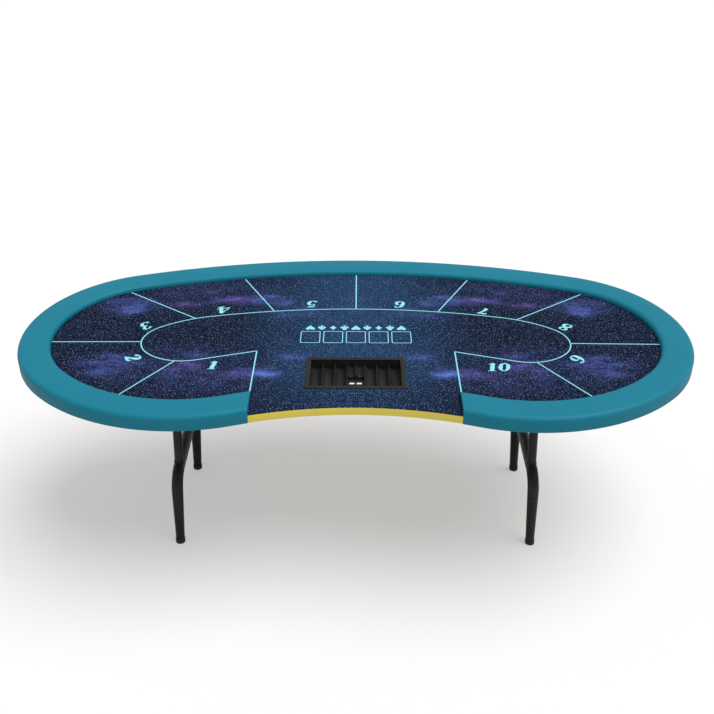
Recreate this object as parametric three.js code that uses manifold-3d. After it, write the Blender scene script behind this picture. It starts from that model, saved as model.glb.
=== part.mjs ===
// Kidney-shaped poker table with a padded rail, a drop-in chip tray and two folding leg frames.
// Millimetres. The floor is z = 0, +Z is up, the dealer sits on the -Y side and the origin is the
// middle of the table's outline on the floor.
import * as THREE from 'three';
import { mergeVertices } from 'three/addons/utils/BufferGeometryUtils.js';
import Module from 'manifold-3d';

const wasm = await Module();
wasm.setup();

// ---- driving dimensions ----

// Outline of the rail's outer face: three convex arcs from the middle of the back round one side,
// each given by its radius and the angle that it turns, closed by one hollow arc at the dealer's place.
const BACK_Y = 576;
const BACK_ARC = { radius: 2700, turn: 19, steps: 6 };
const END_ARC = { radius: 490, turn: 115, steps: 16 };
const LOBE_ARC = { radius: 660, turn: 64, steps: 8 };
const DEALER_ARC_STEPS = 10;

const BOARD_BOTTOM = 726;
const BOARD_TOP = 744;
const FOAM_TOP = 759;
const CLOTH_TOP = 760.3;
const CORE_TOP = 762;
const RAIL_TOP = 780;
const RAIL_WIDTH = 113;
const RAIL_ROUND = 17;
const SKIN = 7.7; // cover and edging that wrap the board's rim
const BAND_TOP = 755;
const CLOTH_LIP = 1; // thickness of the cloth where it turns down over the edge at the dealer's place
const CORE_INNER = 101;
const RAIL_END_X = 346; // flat end faces of the rail at the dealer's place
const RAIL_END_WALL = 8;
const GAP = 0.3;

const TRAY = {
  y: -280, length: 344, depth: 198, bodyLength: 322, bodyDepth: 176,
  bottom: 723, flange: 2.6, corner: 6, clearance: 1,
};
const WELL = { count: 3, pitch: 42.2, width: 39.4, y0: -364, y1: -197, floor: 725, rim: 747 };
const NARROW = { pitch: 30.5, width: 27.7, y0: -266, floor: 733 };
const POCKET_Y1 = -265; // far end of the pocket that the narrow wells and the two slots open into
const SLOT = { x: 12.8, y: -290, length: 17, width: 12 };
const NOTCH = { length: 28, width: 5, edge: 3, depth: 1.8 };

const PIVOT = { x: 637, z: 700, radius: 11, y0: -276, y1: 158 };
const LEAN = THREE.MathUtils.degToRad(2.5);
const LEG_Y = [-286, 168];
const FOOT_RADIUS = 16;
const KNEE_RADIUS = 21;
const KNEE_BEND = 66;
const KNEE_STEPS = 6;
const KNEE_STUB = 22;
const RAIL_DROP = 387; // pivot to the cross rail, along the leg
const UPPER_RADIUS = 16.5;
const UPPER_OFFSET = 65; // upper tube's place behind its lower leg
const CAP = { radius: 18, height: 20, sole: 6 };
const TUBE_WALL = 2;
const TUBE_SIDES = 16;

const BRACKET = { width: 24, y: [-260, 142], thick: 3, reach: 34, screwX: 25 };
const SCREW = { head: 5, headHeight: 3, shank: 2.3, depth: 13, hole: 2.8 };
const BOLT = { head: 9, headHeight: 5, shank: 4, hole: 4.5, inset: 54, top: 757 };

const BRACE = { drop: 240, inward: 130, y: -72, width: 20, thick: 5, pin: 4, tube: 11, ring: 6, play: 0.4 };
const LINK_GAP = 0.5; // from the plane between the two links to each link's face
const MOUNT = { width: 32, length: 36, ear: 18, thick: 3, screws: [15, 34] };
const RIVET = { from: 0.7, shoulder: 0.8, radius: 7, height: 2.2 };

// Places beyond the table top, for cuts that go right through it.
const BELOW = 600;
const ABOVE = 900;
const FAR = 2000;
const DEALER_SPACE = [-700, -300];
const SADDLE = 40; // reach of the round cut where one tube sits on another

// ---- solids ----

function solid(geometry) {
  const bare = geometry.index ? geometry.toNonIndexed() : geometry.clone();
  bare.deleteAttribute('normal');
  bare.deleteAttribute('uv');
  const merged = mergeVertices(bare, 1e-4);
  return new wasm.Manifold(new wasm.Mesh({
    numProp: 3,
    vertProperties: Float32Array.from(merged.attributes.position.array),
    triVerts: Uint32Array.from(merged.index.array),
  }));
}

function geometryOf(manifold) {
  const mesh = manifold.getMesh();
  const geometry = new THREE.BufferGeometry();
  geometry.setAttribute('position', new THREE.BufferAttribute(mesh.vertProperties, 3));
  geometry.setIndex(new THREE.BufferAttribute(mesh.triVerts, 1));
  geometry.computeVertexNormals();
  return geometry;
}

function box(x0, x1, y0, y1, z0, z1) {
  const geometry = new THREE.BoxGeometry(x1 - x0, y1 - y0, z1 - z0);
  return geometry.translate((x0 + x1) / 2, (y0 + y1) / 2, (z0 + z1) / 2);
}

function slab(shape, z0, z1) {
  const geometry = new THREE.ExtrudeGeometry(shape, { depth: z1 - z0, bevelEnabled: false });
  return geometry.translate(0, 0, z0);
}

// A round bar along Y or Z, between two places on that axis.
function bar(axis, radius, from, to, sides = TUBE_SIDES, endRadius = radius) {
  const geometry = new THREE.CylinderGeometry(endRadius, radius, to - from, sides);
  if (axis === 'z') {
    geometry.rotateX(Math.PI / 2);
    return geometry.translate(0, 0, (from + to) / 2);
  }
  return geometry.translate(0, (from + to) / 2, 0);
}

// A flat plate standing across Y: a shape drawn in X and Z, extruded from y0 to y1.
function plateAcrossY(shape, y0, y1) {
  const geometry = new THREE.ExtrudeGeometry(shape, { depth: y1 - y0, bevelEnabled: false, curveSegments: 8 });
  geometry.rotateX(Math.PI / 2);
  return geometry.translate(0, y1, 0);
}

function circlePath(x, y, radius, steps = TUBE_SIDES) {
  const points = [];
  for (let i = 0; i < steps; i += 1) {
    const angle = (2 * Math.PI * i) / steps;
    points.push(new THREE.Vector2(x + radius * Math.cos(angle), y + radius * Math.sin(angle)));
  }
  return new THREE.Path(points);
}

function roundedRectangle(x0, x1, y0, y1, corner) {
  const shape = new THREE.Shape();
  shape.moveTo(x0 + corner, y0);
  shape.lineTo(x1 - corner, y0);
  shape.absarc(x1 - corner, y0 + corner, corner, -Math.PI / 2, 0);
  shape.lineTo(x1, y1 - corner);
  shape.absarc(x1 - corner, y1 - corner, corner, 0, Math.PI / 2);
  shape.lineTo(x0 + corner, y1);
  shape.absarc(x0 + corner, y1 - corner, corner, Math.PI / 2, Math.PI);
  shape.lineTo(x0, y0 + corner);
  shape.absarc(x0 + corner, y0 + corner, corner, Math.PI, Math.PI * 1.5);
  return new THREE.Shape(shape.getPoints(4));
}

// ---- table outline ----

// Centres and angles of the arcs on the +X side, worked out from the driving arcs. Each arc starts
// where the last one ends, in the same direction, so an inset outline keeps the same centres.
function outlineArcs() {
  const arcs = [];
  let heading = 0;
  let x = 0;
  let y = BACK_Y;
  for (const { radius, turn, steps } of [BACK_ARC, END_ARC, LOBE_ARC]) {
    const cx = x + radius * Math.sin(heading);
    const cy = y - radius * Math.cos(heading);
    const from = heading + Math.PI / 2;
    heading -= THREE.MathUtils.degToRad(turn);
    arcs.push({ cx, cy, radius, from, to: heading + Math.PI / 2, steps, side: 1 });
    x = cx - radius * Math.sin(heading);
    y = cy + radius * Math.cos(heading);
  }
  const radius = x / Math.sin(heading);
  const start = heading - Math.PI / 2 + 2 * Math.PI;
  arcs.push({
    cx: 0, cy: y + radius * Math.cos(heading), radius, from: start, to: Math.PI - start,
    steps: DEALER_ARC_STEPS, side: -1,
  });
  return arcs;
}

const ARCS = outlineArcs();

function pointOn(arc, angle, inset) {
  const radius = arc.radius - arc.side * inset;
  return new THREE.Vector2(arc.cx + radius * Math.cos(angle), arc.cy + radius * Math.sin(angle));
}

// The whole outline at one inset, counter-clockwise seen from above.
function outlinePoints(inset) {
  const points = [];
  for (const arc of ARCS) {
    for (let i = 0; i < arc.steps; i += 1) {
      points.push(pointOn(arc, arc.from + ((arc.to - arc.from) * i) / arc.steps, inset));
    }
  }
  for (const arc of ARCS.slice(0, 3).reverse()) {
    for (let i = 0; i < arc.steps; i += 1) {
      const p = pointOn(arc, arc.to + ((arc.from - arc.to) * i) / arc.steps, inset);
      points.push(new THREE.Vector2(-p.x, p.y));
    }
  }
  return points.reverse();
}

function outline(inset) {
  return new THREE.Shape(outlinePoints(inset));
}

// The band between two insets of the outline.
function ring(outer, inner, z0, z1) {
  return solid(slab(outline(outer), z0, z1)).subtract(solid(slab(outline(inner), z0 - 1, z1 + 1)));
}

// Everything within this half-width of the middle at the dealer's side.
function dealerSpace(halfWidth) {
  return solid(box(-halfWidth, halfWidth, ...DEALER_SPACE, BELOW, ABOVE));
}

// ---- table top ----

const black = { color: 0x2a2a2b, roughness: 0.4, metalness: 0.2 };
const steel = { color: 0x9a9da0, roughness: 0.35, metalness: 0.9 };
const wood = { color: 0xb08d5f, roughness: 0.8, metalness: 0 };
const vinyl = { color: 0x2a869e, roughness: 0.45, metalness: 0 };

const table = new THREE.Group();

function addMesh(parent, name, geometry, finish) {
  const mesh = new THREE.Mesh(geometry, new THREE.MeshStandardMaterial(finish));
  mesh.name = name;
  parent.add(mesh);
  return mesh;
}

function boltPlaces() {
  const [back, end, lobe] = ARCS;
  const degrees = THREE.MathUtils.degToRad;
  const places = [[back, 80], [end, 15], [lobe, -76]];
  return places.map(([arc, angle]) => pointOn(arc, degrees(angle), BOLT.inset));
}

const BOLT_PLACES = boltPlaces().flatMap((p) => [p, new THREE.Vector2(-p.x, p.y)]);

function screwPlaces() {
  const places = [];
  for (const side of [-1, 1]) {
    for (const y of BRACKET.y) {
      for (const dx of [-BRACKET.screwX, BRACKET.screwX]) {
        places.push({ x: side * PIVOT.x + dx, y });
      }
    }
    for (const dy of MOUNT.screws) {
      places.push({ x: side * (PIVOT.x - BRACE.inward), y: BRACE.y + dy });
    }
  }
  return places;
}

// A rounded rectangle round the tray's middle.
function trayOutline(length, depth) {
  return roundedRectangle(-length / 2, length / 2, TRAY.y - depth / 2, TRAY.y + depth / 2, TRAY.corner);
}

const TRAY_HOLE = slab(
  trayOutline(TRAY.bodyLength + 2 * TRAY.clearance, TRAY.bodyDepth + 2 * TRAY.clearance), BELOW, ABOVE,
);

function boardGeometry() {
  let body = solid(slab(outline(SKIN + GAP), BOARD_BOTTOM, BOARD_TOP)).subtract(solid(TRAY_HOLE));
  for (const { x, y } of BOLT_PLACES) {
    const hole = bar('z', BOLT.hole, BOARD_BOTTOM - 5, BOARD_TOP + 5, 12).translate(x, y, 0);
    body = body.subtract(solid(hole));
  }
  for (const { x, y } of screwPlaces()) {
    const hole = bar('z', SCREW.hole, BOARD_BOTTOM - 5, BOARD_BOTTOM + SCREW.depth + 1, 8);
    body = body.subtract(solid(hole.translate(x, y, 0)));
  }
  return geometryOf(body);
}

// The padding and the cloth fill the space inside the rail and run out to the dealer's edge.
function playingLayer(z0, z1, apron) {
  const inside = solid(slab(outline(CORE_INNER + 2 * GAP), z0, z1));
  return geometryOf(inside.add(apron).subtract(solid(TRAY_HOLE)));
}

// The padding's apron stands on the board behind the edge band and runs out over the band's top.
function foamGeometry() {
  const onBoard = solid(slab(outline(SKIN + GAP), BOARD_TOP + GAP, FOAM_TOP));
  const overBand = solid(slab(outline(CLOTH_LIP + GAP), BAND_TOP + GAP, FOAM_TOP));
  const apron = onBoard.add(overBand).intersect(dealerSpace(RAIL_END_X - GAP));
  return playingLayer(BOARD_TOP + GAP, FOAM_TOP, apron);
}

// The cloth's apron turns down over the padding's edge as far as the band.
function clothGeometry() {
  const flat = solid(slab(outline(0), FOAM_TOP + GAP, CLOTH_TOP));
  const lip = ring(0, CLOTH_LIP, BAND_TOP + GAP, CLOTH_TOP);
  const apron = flat.add(lip).intersect(dealerSpace(RAIL_END_X - GAP));
  return playingLayer(FOAM_TOP + GAP, CLOTH_TOP, apron);
}

function railCoreGeometry() {
  let body = ring(SKIN + GAP, CORE_INNER, BOARD_TOP + GAP, CORE_TOP);
  body = body.subtract(dealerSpace(RAIL_END_X + RAIL_END_WALL + GAP));
  for (const { x, y } of BOLT_PLACES) {
    const hole = bar('z', BOLT.hole, BOARD_TOP - 5, BOLT.top + 1, 12).translate(x, y, 0);
    body = body.subtract(solid(hole));
  }
  return geometryOf(body);
}

function railPadGeometry() {
  const bottom = BOARD_BOTTOM - 2 * RAIL_ROUND;
  const plan = outline(0);
  plan.holes.push(new THREE.Path(outlinePoints(RAIL_WIDTH)));
  const cushion = new THREE.ExtrudeGeometry(plan, {
    depth: RAIL_TOP - bottom - 2 * RAIL_ROUND, bevelEnabled: true, bevelThickness: RAIL_ROUND,
    bevelSize: RAIL_ROUND, bevelOffset: -RAIL_ROUND, bevelSegments: 3,
  }).translate(0, 0, bottom + RAIL_ROUND);
  let body = solid(cushion);
  body = body.subtract(solid(box(-FAR, FAR, -FAR, FAR, BELOW, BOARD_BOTTOM)));
  body = body.subtract(solid(slab(outline(SKIN), BELOW, BOARD_TOP + GAP)));
  body = body.subtract(solid(slab(outline(CORE_INNER + GAP), BELOW, CLOTH_TOP + GAP)));
  const coreSpace = ring(SKIN, CORE_INNER + GAP, BELOW, CORE_TOP + GAP);
  body = body.subtract(coreSpace.subtract(dealerSpace(RAIL_END_X + RAIL_END_WALL)));
  return geometryOf(body.subtract(dealerSpace(RAIL_END_X)));
}

function edgeBandGeometry() {
  return geometryOf(ring(0, SKIN, BOARD_BOTTOM, BAND_TOP).intersect(dealerSpace(RAIL_END_X - GAP)));
}

addMesh(table, 'table_board', boardGeometry(), wood);
addMesh(table, 'foam_underlay', foamGeometry(), { color: 0xd8d8d0, roughness: 0.9 });
addMesh(table, 'playing_cloth', clothGeometry(), { color: 0x16223a, roughness: 0.8 });
addMesh(table, 'dealer_edge_band', edgeBandGeometry(), { color: 0xb9ae52, roughness: 0.4 });
addMesh(table, 'rail_core', railCoreGeometry(), wood);
addMesh(table, 'rail_pad', railPadGeometry(), vinyl);

// ---- fasteners ----

// A domed head on a plain shank; the dome's steps are fractions of the head's own size.
function fastener(headRadius, headHeight, shankRadius, length, sides) {
  const profile = [
    [0, -headHeight], [headRadius * 0.7, -headHeight], [headRadius, -headHeight * 0.4], [headRadius, 0],
    [shankRadius, 0], [shankRadius, length], [0, length],
  ];
  const points = profile.map(([r, h]) => new THREE.Vector2(r, h));
  return new THREE.LatheGeometry(points, sides).rotateX(Math.PI / 2);
}

const boltLength = BOLT.top - BOARD_BOTTOM + GAP;
BOLT_PLACES.forEach(({ x, y }, i) => {
  const bolt = fastener(BOLT.head, BOLT.headHeight, BOLT.shank, boltLength, 10);
  addMesh(table, `rail_bolt_${i + 1}`, bolt, steel).position.set(x, y, BOARD_BOTTOM - GAP);
});

function addScrew(name, x, y) {
  const screw = fastener(SCREW.head, SCREW.headHeight, SCREW.shank, SCREW.depth + BRACKET.thick, 8);
  const seat = BOARD_BOTTOM - GAP - BRACKET.thick - GAP;
  addMesh(table, name, screw, steel).position.set(x, y, seat);
}

// ---- chip tray ----

// A trough along Y with a round bottom, open at the top.
function well(x, width, y0, y1, floor) {
  const radius = width / 2;
  const shape = new THREE.Shape();
  shape.moveTo(-radius, ABOVE);
  shape.lineTo(-radius, floor + radius);
  shape.absarc(0, floor + radius, radius, Math.PI, 2 * Math.PI);
  shape.lineTo(radius, ABOVE);
  return solid(plateAcrossY(shape, y0, y1).translate(x, 0, 0));
}

function trayGeometry() {
  const seat = CLOTH_TOP + GAP;
  const top = seat + TRAY.flange;
  const flange = slab(trayOutline(TRAY.length, TRAY.depth), seat, top);
  const body = slab(trayOutline(TRAY.bodyLength, TRAY.bodyDepth), TRAY.bottom, seat + TRAY.flange / 2);
  let tray = solid(flange).add(solid(body));
  const innerX = NARROW.pitch + WELL.count * WELL.pitch - (WELL.pitch - WELL.width) / 2;
  tray = tray.subtract(solid(box(-innerX, innerX, WELL.y0, WELL.y1, WELL.rim, ABOVE)));
  for (const side of [-1, 1]) {
    for (let i = 0; i < WELL.count; i += 1) {
      const x = side * (NARROW.pitch + (i + 0.5) * WELL.pitch);
      tray = tray.subtract(well(x, WELL.width, WELL.y0, WELL.y1, WELL.floor));
    }
    tray = tray.subtract(well((side * NARROW.pitch) / 2, NARROW.width, NARROW.y0, WELL.y1, NARROW.floor));
    const slotX = side * SLOT.x;
    tray = tray.subtract(solid(box(
      slotX - SLOT.length / 2, slotX + SLOT.length / 2,
      SLOT.y - SLOT.width / 2, SLOT.y + SLOT.width / 2, BELOW, ABOVE,
    )));
  }
  const pocketX = NARROW.pitch - (NARROW.pitch - NARROW.width) / 2;
  tray = tray.subtract(solid(box(-pocketX, pocketX, WELL.y0, POCKET_Y1, WELL.floor, ABOVE)));
  const notchY = TRAY.y + TRAY.depth / 2 - NOTCH.edge;
  tray = tray.subtract(solid(box(
    -NOTCH.length / 2, NOTCH.length / 2, notchY - NOTCH.width, notchY, top - NOTCH.depth, ABOVE,
  )));
  return geometryOf(tray);
}

addMesh(table, 'chip_tray', trayGeometry(), { color: 0x3a3b3f, roughness: 0.5 });

// ---- leg frames ----

// In each frame the pivot's axis is local Y at the origin and the tubes hang towards local -Z.
const FLOOR_DROP = PIVOT.z / Math.cos(LEAN);
const SHORT_END = FLOOR_DROP - CAP.sole; // where the tapered legs end inside their caps

function legRadius(drop) {
  const straight = RAIL_DROP + KNEE_BEND;
  return FOOT_RADIUS + ((KNEE_RADIUS - FOOT_RADIUS) * (FLOOR_DROP - drop)) / (FLOOR_DROP - straight);
}

// One tapered leg, its knee and the short stub that the cross rail carries on from.
function lowerLeg(y, inward) {
  const kneeDrop = RAIL_DROP + KNEE_BEND;
  const foot = legRadius(SHORT_END);
  const shank = bar('z', foot, -SHORT_END, -kneeDrop, TUBE_SIDES, KNEE_RADIUS).translate(0, y, 0);
  const bore = bar('z', foot - TUBE_WALL, -SHORT_END - 1, -kneeDrop, TUBE_SIDES, KNEE_RADIUS - TUBE_WALL);
  const points = [new THREE.Vector3(0, y, -kneeDrop - 2)];
  for (let i = 0; i <= KNEE_STEPS; i += 1) {
    const angle = (Math.PI / 2) * (i / KNEE_STEPS);
    points.push(new THREE.Vector3(
      0, y + inward * KNEE_BEND * (1 - Math.cos(angle)), -kneeDrop + KNEE_BEND * Math.sin(angle),
    ));
  }
  points.push(new THREE.Vector3(0, y + inward * (KNEE_BEND + KNEE_STUB), -RAIL_DROP));
  const section = new THREE.Shape(circlePath(0, 0, KNEE_RADIUS).getPoints());
  const knee = new THREE.ExtrudeGeometry(section, {
    steps: KNEE_STEPS + 2, bevelEnabled: false, extrudePath: new THREE.CatmullRomCurve3(points),
  });
  return geometryOf(solid(shank).add(solid(knee)).subtract(solid(bore.translate(0, y, 0))));
}

// A straight tube along Y, open at both ends.
function tubeAlongY(radius, y0, y1) {
  const bore = bar('y', radius - TUBE_WALL, y0 - 1, y1 + 1);
  return solid(bar('y', radius, y0, y1)).subtract(solid(bore));
}

function upperTube(y) {
  let tube = solid(bar('z', UPPER_RADIUS, -RAIL_DROP, -2).translate(0, y, 0));
  const bore = bar('z', UPPER_RADIUS - TUBE_WALL, -RAIL_DROP - 1, -1).translate(0, y, 0);
  tube = tube.subtract(solid(bore));
  tube = tube.subtract(solid(bar('y', PIVOT.radius + GAP, y - SADDLE, y + SADDLE)));
  const seat = bar('y', KNEE_RADIUS + GAP, y - SADDLE, y + SADDLE).translate(0, 0, -RAIL_DROP);
  return geometryOf(tube.subtract(solid(seat)));
}

function braceTube(y0, y1) {
  let tube = tubeAlongY(BRACE.tube, y0, y1);
  for (const y of [y0, y1]) {
    tube = tube.subtract(solid(bar('z', UPPER_RADIUS + GAP, -SADDLE, SADDLE).translate(0, y, 0)));
  }
  return geometryOf(tube).translate(0, 0, -BRACE.drop);
}

// A moulded cup on the leg's end, cut level with the floor.
function footCap(y, side) {
  const grip = CAP.height - CAP.sole;
  const profile = [
    [0, -CAP.sole - 4], [CAP.radius, -CAP.sole - 4], [CAP.radius, grip - 2], [CAP.radius - 1, grip],
    [legRadius(SHORT_END - grip) + GAP, grip], [legRadius(SHORT_END) + GAP, -GAP], [0, -GAP],
  ];
  const points = profile.map(([r, h]) => new THREE.Vector2(r, h));
  const cup = new THREE.LatheGeometry(points, TUBE_SIDES).rotateX(Math.PI / 2).translate(0, y, -SHORT_END);
  const floor = box(-FAR, FAR, y - SADDLE, y + SADDLE, -FAR, 0).translate(0, 0, -PIVOT.z);
  floor.rotateY(side * LEAN);
  return geometryOf(solid(cup).subtract(solid(floor)));
}

// A strap that carries the pivot tube under the board.
function pivotBracket(y) {
  const top = BOARD_BOTTOM - GAP - PIVOT.z;
  const bottomOfFlange = top - BRACKET.thick;
  const inner = PIVOT.radius + 0.5;
  const outer = inner + BRACKET.thick;
  const shape = new THREE.Shape();
  shape.moveTo(-BRACKET.reach, top);
  shape.lineTo(-BRACKET.reach, bottomOfFlange);
  shape.lineTo(-outer, bottomOfFlange);
  shape.lineTo(-outer, 0);
  shape.absarc(0, 0, outer, Math.PI, 2 * Math.PI);
  shape.lineTo(outer, bottomOfFlange);
  shape.lineTo(BRACKET.reach, bottomOfFlange);
  shape.lineTo(BRACKET.reach, top);
  const eye = new THREE.Path();
  eye.moveTo(-inner, bottomOfFlange);
  eye.lineTo(-inner, 0);
  eye.absarc(0, 0, inner, Math.PI, 2 * Math.PI);
  eye.lineTo(inner, bottomOfFlange);
  shape.holes.push(eye);
  let strap = solid(plateAcrossY(shape, y - BRACKET.width / 2, y + BRACKET.width / 2));
  for (const x of [-BRACKET.screwX, BRACKET.screwX]) {
    strap = strap.subtract(solid(bar('z', SCREW.hole, 0, SADDLE, 8).translate(x, y, 0)));
  }
  return geometryOf(strap);
}

// A round-ended link across Y with a hole at each end, drawn along local +X from its first hole.
function link(length, y0, y1, firstRadius, firstHole, lastHole) {
  const half = BRACE.width / 2;
  const shape = new THREE.Shape();
  const shoulder = Math.asin(half / firstRadius);
  shape.absarc(0, 0, firstRadius, shoulder, 2 * Math.PI - shoulder);
  shape.lineTo(length, -half);
  shape.absarc(length, 0, half, -Math.PI / 2, Math.PI / 2);
  const outlineOfLink = new THREE.Shape(shape.getPoints(10));
  outlineOfLink.holes.push(circlePath(0, 0, firstHole), circlePath(length, 0, lastHole, 12));
  return plateAcrossY(outlineOfLink, y0, y1);
}

// The folding brace in the plane of X and Z, seen from one leg frame: u runs inward from the pivot.
const KNEE_PIN = new THREE.Vector2(-BRACE.drop * Math.sin(LEAN), PIVOT.z - BRACE.drop * Math.cos(LEAN));
const BOARD_PIN = new THREE.Vector2(BRACE.inward, PIVOT.z);
const OPEN_LENGTH = KNEE_PIN.distanceTo(BOARD_PIN);
const FOLDED_LENGTH = BRACE.drop - BRACE.inward;
const LONG_LINK = (OPEN_LENGTH + FOLDED_LENGTH) / 2;
const SHORT_LINK = (OPEN_LENGTH - FOLDED_LENGTH) / 2;
const BRACE_ANGLE = Math.atan2(BOARD_PIN.y - KNEE_PIN.y, BOARD_PIN.x - KNEE_PIN.x);

function braceMount(side) {
  const x = side * (PIVOT.x - BRACE.inward);
  const top = BOARD_BOTTOM - GAP;
  const y = BRACE.y + BRACE.thick + 1;
  const halfWidth = MOUNT.width / 2;
  const halfEar = MOUNT.ear / 2;
  const plate = box(x - halfWidth, x + halfWidth, y, y + MOUNT.length, top - MOUNT.thick, top);
  const ear = box(x - halfEar, x + halfEar, y, y + MOUNT.thick, PIVOT.z - halfEar, top);
  const pin = bar('y', BRACE.pin, BRACE.y + LINK_GAP, y + MOUNT.thick / 2, 12).translate(x, 0, PIVOT.z);
  let mount = solid(plate).add(solid(ear)).add(solid(pin));
  for (const dy of MOUNT.screws) {
    const hole = bar('z', SCREW.hole, BELOW, ABOVE, 8).translate(x, BRACE.y + dy, 0);
    mount = mount.subtract(solid(hole));
  }
  return geometryOf(mount);
}

function addLegSet(side, name) {
  const frame = new THREE.Group();
  frame.position.set(side * PIVOT.x, 0, PIVOT.z);
  frame.rotation.y = -side * LEAN;
  table.add(frame);

  const [front, rear] = LEG_Y;
  const upperFront = front + UPPER_OFFSET;
  const upperRear = rear - UPPER_OFFSET;
  const stub = KNEE_BEND + KNEE_STUB + GAP;
  const pivotTube = geometryOf(tubeAlongY(PIVOT.radius, PIVOT.y0, PIVOT.y1));
  addMesh(frame, `pivot_tube_${name}`, pivotTube, black);
  addMesh(frame, `upper_tube_front_${name}`, upperTube(upperFront), black);
  addMesh(frame, `upper_tube_rear_${name}`, upperTube(upperRear), black);
  addMesh(frame, `lower_leg_front_${name}`, lowerLeg(front, 1), black);
  addMesh(frame, `lower_leg_rear_${name}`, lowerLeg(rear, -1), black);
  const crossRail = geometryOf(tubeAlongY(KNEE_RADIUS, front + stub, rear - stub));
  addMesh(frame, `cross_rail_${name}`, crossRail.translate(0, 0, -RAIL_DROP), black);
  addMesh(frame, `brace_tube_${name}`, braceTube(upperFront, upperRear), black);
  const rubber = { color: 0x1a1a1b, roughness: 0.9 };
  addMesh(frame, `foot_cap_front_${name}`, footCap(front, side), rubber);
  addMesh(frame, `foot_cap_rear_${name}`, footCap(rear, side), rubber);

  BRACKET.y.forEach((y, i) => {
    const end = ['front', 'rear'][i];
    const bracket = addMesh(table, `pivot_bracket_${end}_${name}`, pivotBracket(y), steel);
    bracket.position.set(side * PIVOT.x, 0, PIVOT.z);
    addScrew(`bracket_screw_${end}_outer_${name}`, side * (PIVOT.x + BRACKET.screwX), y);
    addScrew(`bracket_screw_${end}_inner_${name}`, side * (PIVOT.x - BRACKET.screwX), y);
  });

  addMesh(table, `brace_mount_${name}`, braceMount(side), steel);
  MOUNT.screws.forEach((dy, i) => {
    const end = ['front', 'rear'][i];
    addScrew(`brace_screw_${end}_${name}`, side * (PIVOT.x - BRACE.inward), BRACE.y + dy);
  });

  // Links lie side by side along Y; the long one turns on the brace tube, the short one on the mount's pin.
  const pinHole = BRACE.pin + BRACE.play;
  const tubeHole = BRACE.tube + BRACE.play;
  const far = BRACE.thick + LINK_GAP;
  const longLink = link(LONG_LINK, -far, -LINK_GAP, BRACE.tube + BRACE.ring, tubeHole, pinHole);
  const shortLink = link(SHORT_LINK, LINK_GAP, far, BRACE.width / 2 + BRACE.play, pinHole, pinHole);
  const place = (mesh, point, angle) => {
    mesh.position.set(side * (PIVOT.x - point.x), BRACE.y, point.y);
    mesh.rotation.y = side > 0 ? angle - Math.PI : -angle;
  };
  place(addMesh(table, `brace_long_link_${name}`, longLink, steel), KNEE_PIN, BRACE_ANGLE);
  place(addMesh(table, `brace_short_link_${name}`, shortLink, steel), BOARD_PIN, BRACE_ANGLE + Math.PI);
  const elbow = KNEE_PIN.clone().lerp(BOARD_PIN, LONG_LINK / OPEN_LENGTH);
  const shoulder = BRACE.thick + RIVET.shoulder;
  const head = shoulder + RIVET.height;
  const rivet = new THREE.LatheGeometry([
    [0, RIVET.from], [BRACE.pin, RIVET.from], [BRACE.pin, shoulder], [RIVET.radius, shoulder],
    [RIVET.radius - 1, head], [0, head],
  ].map(([r, h]) => new THREE.Vector2(r, h)), 12);
  const pin = addMesh(table, `brace_elbow_pin_${name}`, rivet, steel);
  pin.position.set(side * (PIVOT.x - elbow.x), BRACE.y, elbow.y);
}

addLegSet(-1, 'left');
addLegSet(1, 'right');

export default table;
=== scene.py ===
"""Finished pieces of a kidney-shaped poker table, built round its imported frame.

Everything is in metres. The floor is z = 0, +Z is up, and the dealer sits on the -Y side.
"""
import math
import random
from collections import namedtuple

import bmesh
import bpy
from bpy.props import FloatProperty, FloatVectorProperty, PointerProperty
from mathutils import Matrix, Vector


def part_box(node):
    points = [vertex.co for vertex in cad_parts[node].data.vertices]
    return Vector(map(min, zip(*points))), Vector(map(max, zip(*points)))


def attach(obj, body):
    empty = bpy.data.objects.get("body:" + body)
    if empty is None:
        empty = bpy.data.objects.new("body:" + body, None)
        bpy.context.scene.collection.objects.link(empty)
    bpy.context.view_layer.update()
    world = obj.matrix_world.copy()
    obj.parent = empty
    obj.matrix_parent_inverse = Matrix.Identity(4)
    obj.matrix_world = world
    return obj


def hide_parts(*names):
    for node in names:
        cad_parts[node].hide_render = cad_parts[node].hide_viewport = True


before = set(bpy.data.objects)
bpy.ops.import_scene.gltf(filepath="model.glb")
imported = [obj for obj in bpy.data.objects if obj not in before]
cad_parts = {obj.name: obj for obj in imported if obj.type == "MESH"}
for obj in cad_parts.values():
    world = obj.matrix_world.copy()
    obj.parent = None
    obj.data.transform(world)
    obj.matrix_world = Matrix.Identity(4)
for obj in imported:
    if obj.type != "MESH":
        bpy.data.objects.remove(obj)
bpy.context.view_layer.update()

bl_info = {
    "name": "Poker Table Maker",
    "version": (1, 0, 0),
    "blender": (4, 5, 0),
    "location": "3D View > Sidebar > Poker Table",
    "description": "Builds a kidney-shaped poker table with a padded rail and folding legs",
    "category": "Add Mesh",
}

UP = Vector((0, 0, 1))
TINY = 1e-5  # distance within which two points are one
GAP = 0.0003  # clearance between neighbouring pieces

# ---- heights and places from the frame ----

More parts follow.
